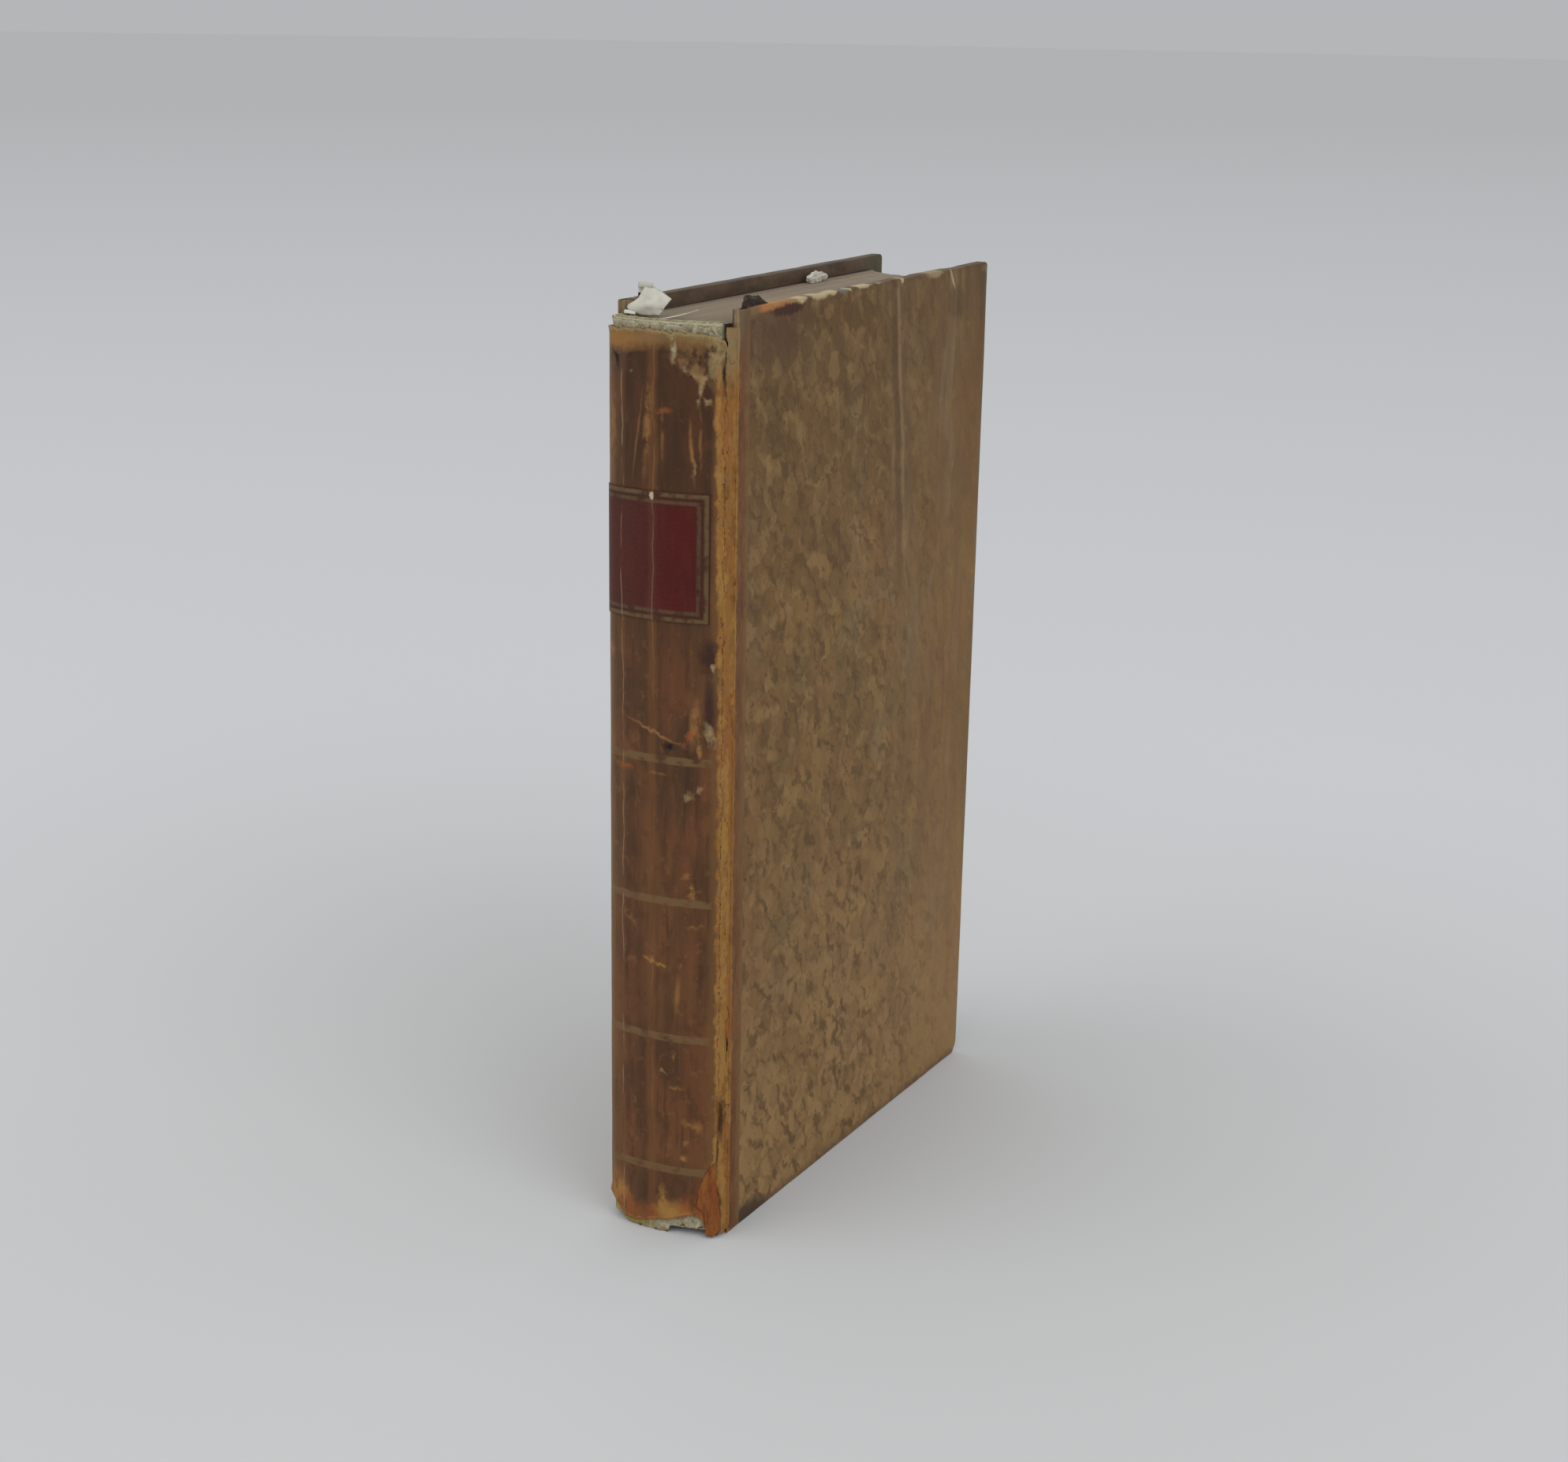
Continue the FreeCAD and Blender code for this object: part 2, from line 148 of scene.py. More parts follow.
def start(name, roughness, shine=0.2):
    """A new material, with its graph, its shader and the place on the book in millimetres."""
    material = bpy.data.materials.new(name)
    material.use_nodes = True
    tree = material.node_tree
    shader = tree.nodes["Principled BSDF"]
    shader.inputs["Roughness"].default_value = roughness
    shader.inputs["Specular IOR Level"].default_value = shine
    where = add(tree, "TexCoord", {}, out="Object")
    scale = (1 / MM, 1 / MM, 1 / MM)
    back = tuple(-v for v in ORIGIN_MM)
    place = add(tree, "VectorMath", {0: where, 1: scale, 2: back}, operation="MULTIPLY_ADD")
    return material, tree, shader, place


# %% [markdown]
# ## Four patterns that make wear
# Old leather and paper can be painted from very few patterns. Speckle is a noise with its own
# grain size along each direction, so it makes clouds, streaks or strokes. A spot is one scuff or
# stain. A zone is a slow change across the book. A ragged place pushes the others about, so that
# they get torn edges. Colours are then laid over each other, as stains and scuffs came with age.

# %% Patterns
# The half size of a spot along a direction in which it reaches right through the book.
THROUGH = 99


def speckle(tree, place, size, low, high, strength=1.0, seed=0.0, lean=0.0):
    """A mask from noise whose grain is size millimetres along X, Y and Z, leaning about X."""
    leant = add(tree, "VectorRotate", {"Vector": place, "Angle": lean}, rotation_type="X_AXIS")
    scale = tuple(1 / s for s in size)
    grain = add(tree, "VectorMath", {0: leant, 1: scale, 2: (seed, seed, seed)}, operation="MULTIPLY_ADD")
    cloud = add(tree, "TexNoise", {"Vector": grain, "Scale": 1.0, "Detail": 3.0}, out="Fac")
    return add(tree, "MapRange", {"Value": cloud, "From Min": low, "From Max": high, "To Max": strength})


def spot(tree, place, middle, half, strength=1.0, turned=(0, 0, 0), soft=0.25):
    """A mask that fills an ellipse of half sizes half about middle, in millimetres."""
    away = add(tree, "VectorMath", {0: place, 1: middle}, operation="SUBTRACT")
    level = add(tree, "VectorRotate", {"Vector": away, "Rotation": turned}, rotation_type="EULER_XYZ",
                invert=True)
    local = add(tree, "VectorMath", {0: level, 1: half}, operation="DIVIDE")
    reach = add(tree, "VectorMath", {0: local}, out="Value", operation="LENGTH")
    return add(tree, "MapRange", {"Value": reach, "From Min": 1 + soft, "From Max": 1 - soft,
                                  "To Max": strength})


def zone(tree, place, axis, begin, end, strength=1.0):
    """A mask that rises from 0 at begin to strength at end, along one axis."""
    part = add(tree, "SeparateXYZ", {0: place}, out=axis)
    return add(tree, "MapRange", {"Value": part, "From Min": begin, "From Max": end, "To Max": strength})


def near(tree, value, middle, half, strength=1.0, soft=0.3):
    """A mask for a line: full where value lies within half of middle."""
    off = add(tree, "Math", {0: value, 1: middle}, operation="SUBTRACT")
    away = add(tree, "Math", {0: off}, operation="ABSOLUTE")
    return add(tree, "MapRange", {"Value": away, "From Min": half + soft, "From Max": half,
                                  "To Max": strength})


def both(tree, *masks):
    """The product of masks: full only where each of them is."""
    product = masks[0]
    for mask in masks[1:]:
        product = add(tree, "Math", {0: product, 1: mask}, operation="MULTIPLY")
    return product


def ragged(tree, place, size, amount):
    """The places pushed up to amount millimetres by a noise of that grain size."""
    grain = add(tree, "VectorMath", {0: place, 1: (1 / size, 1 / size, 1 / size)}, operation="MULTIPLY")
    push = add(tree, "TexNoise", {"Vector": grain, "Scale": 1.0, "Detail": 4.0}, out="Color")
    double = (4 * amount, 4 * amount, 4 * amount)
    half = (-2 * amount, -2 * amount, -2 * amount)
    shift = add(tree, "VectorMath", {0: push, 1: double, 2: half}, operation="MULTIPLY_ADD")
    return add(tree, "VectorMath", {0: place, 1: shift}, operation="ADD")


def layered(tree, ground, layers):
    """Lays colours over a ground one after another, each where its mask is full."""
    colour = ground
    if isinstance(colour, str):
        colour = linear(colour)
    for mask, code in layers:
        colour = add(tree, "Mix", {0: mask, 6: colour, 7: linear(code)}, out=2, data_type="RGBA")
    return colour


def dress(tree, shader, colour, height, depth_mm):
    """Joins the colour and a bump of that depth to the shader."""
    tree.links.new(colour, shader.inputs["Base Color"])
    normal = add(tree, "Bump", {"Height": height, "Strength": 0.8, "Distance": depth_mm * MM}, out="Normal")
    tree.links.new(normal, shader.inputs["Normal"])


print("patterns ready")

# %% [markdown]
# ## Worn calf on the spine
# Calf is smooth and close-grained. Two centuries of hands have darkened it, cracked it along the
# spine and rubbed the surface off in scuffs, where the paler flesh of the skin shows. It keeps a
# dull polish, so its roughness is middling. The scuffs are single named spots, because each one
# is a separate event in the life of the book, and a noise alone wouldn't put them anywhere.

# %% Marks on the spine
# Each mark: its middle across the spine and up from the tail, its half sizes, its lean in
# degrees, its strength and its colour.
TAN = "#8d6236"
PALE = "#9c835c"
ORANGE = "#8c4c26"
YELLOW = "#9c7238"
BLACK = "#17100b"
MAROON = "#351c18"
SPINE_MARKS = [
    (-2.4, 181.0, 0.75, 8.5, 3, 0.75, TAN),
    (-4.6, 180.0, 0.25, 7.0, 8, 0.50, TAN),
    (1.3, 184.5, 1.50, 0.50, -6, 0.60, ORANGE),
    (1.0, 180.0, 0.30, 5.0, 0, 0.45, TAN),
    (7.3, 176.5, 0.35, 5.0, -4, 0.80, TAN),
    (7.7, 173.0, 0.40, 1.3, 0, 0.90, PALE),
    (9.0, 179.0, 0.25, 5.5, 0, 0.50, TAN),
    (7.4, 192.2, 2.20, 0.55, 22, 0.85, PALE),
    (9.9, 191.6, 1.10, 0.50, -35, 0.85, PALE),
    (8.9, 189.2, 0.45, 2.60, 6, 0.85, PALE),
    (9.6, 186.7, 1.20, 0.40, 15, 0.80, PALE),
    (-6.5, 192.0, 0.50, 0.35, 0, 0.60, PALE),
    (-10.6, 193.8, 2.00, 2.60, 0, 0.60, "#39302c"),
    (-10.7, 195.3, 0.45, 1.20, -40, 1.00, BLACK),
    (-9.9, 194.2, 0.40, 2.00, -6, 1.00, BLACK),
    (-11.6, 180.0, 1.40, 8.0, 0, 0.60, TAN),
    (-11.8, 133.0, 1.00, 1.3, 0, 0.60, TAN),
    (11.0, 134.0, 1.70, 3.0, 0, 0.85, MAROON),
    (11.2, 122.0, 1.00, 6.0, 0, 0.80, MAROON),
    (-0.8, 116.6, 5.60, 0.32, 21, 0.85, TAN),
    (2.7, 113.6, 1.15, 1.05, 0, 1.00, BLACK),
    (8.2, 119.0, 0.80, 4.6, 5, 0.90, TAN),
    (7.0, 116.0, 0.60, 2.2, 30, 0.70, ORANGE),
    (9.2, 114.2, 0.45, 2.2, 0, 0.85, YELLOW),
    (11.3, 116.8, 0.75, 2.2, -20, 0.80, PALE),
    (11.9, 131.5, 0.35, 0.8, 0, 0.80, PALE),
    (-8.2, 108.1, 1.70, 0.55, 4, 0.85, ORANGE),
    (0.2, 107.6, 1.70, 0.35, 2, 0.70, TAN),
    (7.0, 103.2, 0.85, 0.85, 0, 0.60, PALE),
    (9.3, 105.0, 0.45, 0.75, 15, 0.80, PALE),
    (7.2, 85.2, 1.20, 0.60, -28, 0.80, TAN),
    (7.9, 82.0, 0.50, 1.40, 0, 0.85, YELLOW),
    (-6.7, 74.0, 0.70, 1.80, -38, 0.70, TAN),
    (8.8, 73.9, 1.60, 0.45, -8, 0.60, TAN),
    (-1.2, 64.9, 1.30, 0.50, 20, 0.85, YELLOW),
    (1.2, 64.2, 1.20, 0.30, 0, 0.70, YELLOW),
    (5.2, 64.4, 0.60, 0.60, 0, 0.60, TAN),
    (4.7, 57.6, 0.55, 3.4, 4, 0.65, TAN),
    (4.0, 43.0, 0.50, 0.9, 0, 0.70, TAN),
    (1.6, 39.1, 0.80, 0.40, 25, 0.70, PALE),
    (5.0, 35.8, 1.40, 0.35, 0, 0.75, YELLOW),
    (7.3, 27.2, 1.30, 0.70, 30, 0.75, TAN),
    (9.3, 26.5, 0.90, 1.60, -25, 0.70, TAN),
    (7.0, 22.8, 0.60, 0.50, 0, 0.70, TAN),
    (6.3, 19.2, 0.60, 0.85, 25, 0.75, YELLOW),
    (-10.8, 9.0, 2.60, 3.0, -14, 0.85, "#8f5f2e"),
    (-9.6, 7.0, 2.40, 2.0, -30, 0.85, YELLOW),
    (-7.4, 4.6, 2.20, 2.6, -30, 0.85, ORANGE),
    (-4.0, 3.6, 3.00, 2.2, 0, 0.75, "#7c4a24"),
    (-0.5, 4.4, 1.40, 2.0, 0, 0.70, ORANGE),
    (1.6, 7.0, 0.90, 3.6, 0, 0.85, YELLOW),
    (4.4, 5.0, 3.60, 2.6, 0, 0.90, YELLOW),
    (8.2, 6.0, 2.60, 3.0, 0, 0.80, ORANGE),
    (12.2, 9.0, 2.20, 7.0, 8, 0.90, "#8a4a20"),
    (-8.7, 198.4, 6.80, 2.1, -2, 0.95, "#8d6434"),
    (-1.0, 199.6, 3.80, 1.4, -8, 0.85, "#826440"),
    (6.5, 199.2, 6.00, 1.8, -4, 0.90, "#7b5c33"),
    (9.0, 200.0, 4.00, 1.1, -4, 0.60, "#806a44"),
    (5.0, 194.6, 2.20, 1.0, 25, 0.80, "#7d5c38"),
    (8.2, 193.0, 1.10, 2.4, -20, 0.80, "#82633c"),
    (3.4, 197.6, 0.50, 2.6, 4, 0.90, "#a39674"),
    (8.0, 196.6, 2.60, 1.2, 20, 0.70, "#7b5a38"),
    (11.9, 196.4, 1.50, 5.0, 0, 0.90, "#8f7a53"),
]
BACK_CRACK_X = -8.9
MIDDLE_CRACK_X = -1.1
FILLET_Z = 15.8
FILLET_STEP = 31.65
FILLET_HALF = 0.75
# A mark this many times as tall as it is wide is a scratch, so its sides are straight.
SCRATCH = 4
# A mark with a half width past this is a stain: it is whole, and takes nothing off the surface.
STAIN_HALF = 3
# The half size of a mark along Y, so large that the round of the spine makes no difference.
MARK_DEEP = 1000
# Across the spine, the raw leather of the joint starts between these two places.
RAW_EDGE = (12.45, 12.95)
print("marks on the spine", len(SPINE_MARKS))

# %% Raw leather, where the joint has rubbed through


def raw_leather(tree, place):
    """The colour of calf rubbed down to its flesh along a joint: orange, with upright cracks."""
    torn = ragged(tree, place, 2.2, 0.8)
    slit = ragged(tree, place, 3.0, 0.2)
    layers = [
        (speckle(tree, torn, (9.0, 9.0, 18.0), 0.42, 0.60, 0.7, seed=5.0), "#8b5629"),
        (speckle(tree, torn, (2.4, 2.4, 16.0), 0.46, 0.60, 0.7, seed=3.1), "#9a753c"),
        (speckle(tree, torn, (2.0, 2.0, 8.0), 0.52, 0.64, 0.6, seed=8.7), "#6c4623"),
        (speckle(tree, torn, (2.4, 2.4, 3.4), 0.56, 0.66, 0.6, seed=14.0), "#845f3a"),
        (speckle(tree, torn, (0.6, 0.6, 7.0), 0.63, 0.70, 0.8, seed=21.3), "#3d2613"),
        (spot(tree, slit, (13.5, 0, 29.0), (0.32, THROUGH, 4.6), 0.90, soft=0.5), "#33200f"),
        (spot(tree, slit, (13.15, 0, 20.5), (0.18, THROUGH, 4.6), 0.70, soft=0.5), "#33200f"),
        (spot(tree, slit, (13.4, 0, 8.6), (0.30, THROUGH, 2.8), 0.80, soft=0.5), "#33200f"),
        (zone(tree, torn, "Z", 189.0, 196.0, 0.8), "#87734f"),
        (spot(tree, slit, (13.1, 0, 195.5), (0.3, THROUGH, 6.0), 0.95, soft=0.4), "#1f160e"),
    ]
    return layered(tree, "#8a602c", layers)


def joint_zone(tree, place):
    """Where the raw leather shows on the spine: past a torn line that wanders with height."""
    torn = ragged(tree, place, 2.4, 0.5)
    across = add(tree, "SeparateXYZ", {0: torn}, out="X")
    raised = zone(tree, torn, "Z", 120.0, 185.0, 1.0)
    reach = add(tree, "Math", {0: across, 1: raised}, operation="ADD")
    strip = add(tree, "MapRange", {"Value": reach, "From Min": RAW_EDGE[0], "From Max": RAW_EDGE[1]})
    return both(tree, strip, zone(tree, torn, "Z", 195.5, 192.5))


# %% Calf for the spine


def worn_calf():
    """Calf of the spine: brown and streaked, with its scuffs, its cracks and its pale torn edges."""
    material, tree, shader, place = start("worn_calf", 0.52)
    torn = ragged(tree, place, 1.6, 0.65)
    wavy = ragged(tree, place, 9.0, 0.5)
    across = add(tree, "SeparateXYZ", {0: wavy}, out="X")
    up = add(tree, "SeparateXYZ", {0: place}, out="Z")
    skin = layered(tree, "#513620", [
        (zone(tree, wavy, "Z", 100.0, 20.0, 0.60), "#71492a"),
        (speckle(tree, wavy, (7.0, 7.0, 26.0), 0.42, 0.58, 0.65, seed=1.0), "#41291a"),
        (speckle(tree, wavy, (6.0, 6.0, 20.0), 0.45, 0.62, 0.65, seed=2.0), "#693f25"),
        (speckle(tree, wavy, (2.8, 2.8, 40.0), 0.50, 0.68, 0.50, seed=3.0), "#704a29"),
        (speckle(tree, wavy, (1.5, 1.5, 16.0), 0.54, 0.68, 0.45, seed=4.0), "#352211"),
        (speckle(tree, torn, (3.0, 3.0, 4.0), 0.52, 0.64, 0.40, seed=17.0), "#442d18"),
        (speckle(tree, torn, (2.0, 2.0, 2.6), 0.60, 0.70, 0.35, seed=5.0), "#7a5433"),
        (spot(tree, wavy, (1.0, 0, 12.0), (9.0, THROUGH, 5.0), 0.55, soft=0.5), "#3c2718"),
        (zone(tree, wavy, "Z", 120.0, 175.0, 0.60), "#38200f"),
        (zone(tree, wavy, "X", -9.4, -12.8, 0.8), "#785b3c"),
        (near(tree, across, BACK_CRACK_X, 0.5, 0.35, 0.9), "#6d4c30"),
        (near(tree, across, MIDDLE_CRACK_X, 0.55, 0.50, 0.9), "#6f4827"),
        (zone(tree, wavy, "X", 10.9, 12.0, 0.7), "#6b4b2a"),
    ])
    rubbed_away = speckle(tree, torn, (1.3, 1.3, 3.0), 0.34, 0.54, seed=61.0)
    straight = ragged(tree, place, 4.0, 0.25)
    for x, z, half_x, half_z, lean, strength, code in SPINE_MARKS:
        turned = (0, math.radians(lean), 0)
        sides = straight if half_z > SCRATCH * half_x else torn
        mask = spot(tree, sides, (x, 0, z), (half_x, MARK_DEEP, half_z), strength, turned, 0.6)
        if code not in (BLACK, MAROON) and half_x < STAIN_HALF:
            mask = both(tree, mask, rubbed_away)
        skin = layered(tree, skin, [(mask, code)])
    from_tear = add(tree, "Attribute", {}, out="Fac", attribute_name="from_tear")
    fuzzy = add(tree, "Math", {0: rubbed_away, 1: -0.6, 2: from_tear}, operation="MULTIPLY_ADD")
    rim = add(tree, "MapRange", {"Value": fuzzy, "From Min": 0.4, "From Max": -0.2, "To Max": 0.6})
    skin = layered(tree, skin, [
        (both(tree, rim, zone(tree, place, "Z", 150.0, 180.0)), "#93825b"),
        (both(tree, rim, zone(tree, place, "Z", 40.0, 20.0)), "#966a35"),
    ])
    from_fillet = add(tree, "Math", {0: up, 1: FILLET_Z}, operation="SUBTRACT")
    distance = add(tree, "Math", {0: from_fillet, 1: FILLET_STEP / 2}, operation="PINGPONG")
    fillet = near(tree, distance, 0.0, FILLET_HALF, 0.85, 0.25)
    below_label = zone(tree, place, "Z", 125.0, 124.0)
    rubbed = speckle(tree, place, (3.0, 3.0, 2.0), 0.30, 0.50, 1.0, seed=9.0)
    on_crown = zone(tree, place, "X", 12.0, 11.5)
    broken = speckle(tree, place, (4.0, 4.0, 9.0), 0.46, 0.58, 0.8, seed=12.0)
    skin = layered(tree, skin, [
        (both(tree, fillet, below_label, rubbed, on_crown), "#6c5335"),
        (both(tree, near(tree, across, BACK_CRACK_X + 0.3, 0.04, 0.7, 0.14), broken), "#9c8468"),
        (both(tree, near(tree, across, MIDDLE_CRACK_X + 0.2, 0.04, 0.7, 0.14), broken), "#875c38"),
    ])
    mask = joint_zone(tree, place)
    colour = add(tree, "Mix", {0: mask, 6: skin, 7: raw_leather(tree, place)}, out=2, data_type="RGBA")
    grain = speckle(tree, place, (0.35, 0.35, 0.5), 0.3, 0.7, 0.5, seed=30.0)
    streak = speckle(tree, place, (0.5, 0.5, 9.0), 0.3, 0.7, 1.0, seed=31.0)
    height = add(tree, "Math", {0: grain, 1: streak}, operation="ADD")
    dress(tree, shader, colour, height, 0.12)
    gloss = add(tree, "MapRange", {"Value": streak, "To Min": 0.42, "To Max": 0.62})
    tree.links.new(gloss, shader.inputs["Roughness"])
    return material


calf = worn_calf()
print("worn calf", len(calf.node_tree.nodes), "nodes")

# %% [markdown]
# ## Red morocco label
# The label is a thin red goatskin pasted over the calf, with gilt lines that have gone khaki.
# The lines follow its edge, so the distance to the nearest edge draws both of them at once.

# %% Label leather


def red_morocco():
    """Red goatskin with two dull gilt lines inside its edge."""
    material, tree, shader, place = start("red_morocco", 0.5)
    low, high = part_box("title_label")
    edges = [("Z", low.z / MM, 1), ("Z", high.z / MM, -1), ("X", (high.x - SPINE_MIDDLE) / MM, -1)]
    distance = None
    for axis, edge, side in edges:
        part = add(tree, "SeparateXYZ", {0: place}, out=axis)
        inwards = add(tree, "Math", {0: part, 1: side, 2: -side * edge}, operation="MULTIPLY_ADD")
        if distance is not None:
            inwards = add(tree, "Math", {0: distance, 1: inwards}, operation="MINIMUM")
        distance = inwards
    wavy = ragged(tree, place, 9.0, 0.5)
    across = add(tree, "SeparateXYZ", {0: wavy}, out="X")
    broken = speckle(tree, place, (4.0, 4.0, 7.0), 0.36, 0.50, 0.9, seed=12.0)
    worn = speckle(tree, place, (2.0, 2.0, 3.0), 0.30, 0.52, 1.0, seed=14.0)
    frame_band = near(tree, distance, 1.3, 1.2, 0.75, 0.3)
    outer = near(tree, distance, 0.6, 0.25, 0.75, 0.35)
    inner = near(tree, distance, 2.1, 0.20, 0.65, 0.35)
    colour = layered(tree, "#4b0e09", [
        (speckle(tree, place, (6.0, 6.0, 9.0), 0.40, 0.62, 0.6, seed=1.5), "#41110a"),
        (zone(tree, place, "X", 3.0, -12.0, 0.80), "#47281b"),
        (speckle(tree, place, (2.0, 2.0, 9.0), 0.52, 0.70, 0.4, seed=2.5), "#561c12"),
        (speckle(tree, place, (1.4, 1.4, 2.0), 0.60, 0.70, 0.3, seed=6.5), "#340f08"),
        (frame_band, "#3a2214"),
        (both(tree, outer, worn), "#655233"),
        (both(tree, inner, worn), "#5f4830"),
        (near(tree, across, MIDDLE_CRACK_X, 0.35, 0.30, 0.9), "#613a2c"),
        (both(tree, near(tree, across, BACK_CRACK_X + 0.3, 0.05, 0.6, 0.14), broken), "#95796a"),
        (both(tree, near(tree, across, MIDDLE_CRACK_X + 0.2, 0.04, 0.45, 0.12), broken), "#8a6d5c"),
        (spot(tree, ragged(tree, place, 1.2, 0.2), (-1.2, 0, 166.9), (0.45, THROUGH, 0.8)), "#b5a08a"),
    ])
    grain = speckle(tree, place, (0.6, 0.6, 0.7), 0.3, 0.7, 1.0, seed=30.0)
    dress(tree, shader, colour, grain, 0.1)
    return material


morocco = red_morocco()
print("red morocco", len(morocco.node_tree.nodes), "nodes")

# %% [markdown]
# ## Sprinkled paper on the boards
# The sides are covered with a brown paste paper: mottled, with short dark strokes that lean one
# way near the joint and run upright towards the fore edge. Rubbing has greyed the fore edge and
# broken the head edge down to the board. The strokes are a noise drawn long and thin.

# %% Chips along the head edge of the front board
# Each chip: its middle from the joint, half length, half height and colour.
CREAM = "#ab9a76"
HEAD_CHIPS = [
    (11.0, 11.0, 1.5, "#a06a3a"),
    (6.5, 3.0, 2.4, "#6f5538"),
    (15.5, 1.8, 0.7, "#9a7242"),
    (22.0, 5.5, 0.8, "#8f6c44"),
    (26.5, 2.2, 1.3, CREAM),
    (34.0, 4.0, 1.2, CREAM),
    (39.5, 2.6, 0.9, CREAM),
    (44.5, 2.6, 1.1, "#66655a"),
    (47.3, 0.7, 0.9, CREAM),
    (54.0, 3.2, 0.8, CREAM),
    (61.5, 1.6, 0.4, "#8d7a58"),
    (72.0, 1.0, 1.2, CREAM),
    (88.5, 4.5, 1.5, "#8b7b58"),
    (93.5, 2.0, 0.6, "#57553a"),
]
PURPLE = "#381811"
# The crease down the front board moves this far towards the joint for each millimetre up.
CREASE_LEAN = 0.125


def pasted(tree, place, size, lean):
    """Places counted in cells of that size, leaning about X."""
    leant = add(tree, "VectorRotate", {"Vector": place, "Angle": lean}, rotation_type="X_AXIS")
    return add(tree, "VectorMath", {0: leant, 1: tuple(1 / s for s in size)}, operation="MULTIPLY")


def cells(tree, place, size, line, lean, strength=1.0):
    """A mask for the dark lines between the cells that paste leaves as the papers are parted."""
    grain = pasted(tree, place, size, lean)
    rim = add(tree, "TexVoronoi", {"Vector": grain, "Scale": 1.0}, out="Distance", feature="DISTANCE_TO_EDGE")
    return add(tree, "MapRange", {"Value": rim, "From Min": line, "From Max": 0.3 * line, "To Max": strength})


def patches(tree, place, size, lean, low, high, strength=1.0):
    """A mask that fills some of those cells and leaves others bare, as the paste lies thick or thin."""
    grain = pasted(tree, place, size, lean)
    cell = add(tree, "TexVoronoi", {"Vector": grain, "Scale": 1.0}, out="Color")
    tone = add(tree, "SeparateXYZ", {0: cell}, out="X")
    return add(tree, "MapRange", {"Value": tone, "From Min": low, "From Max": high, "To Max": strength})


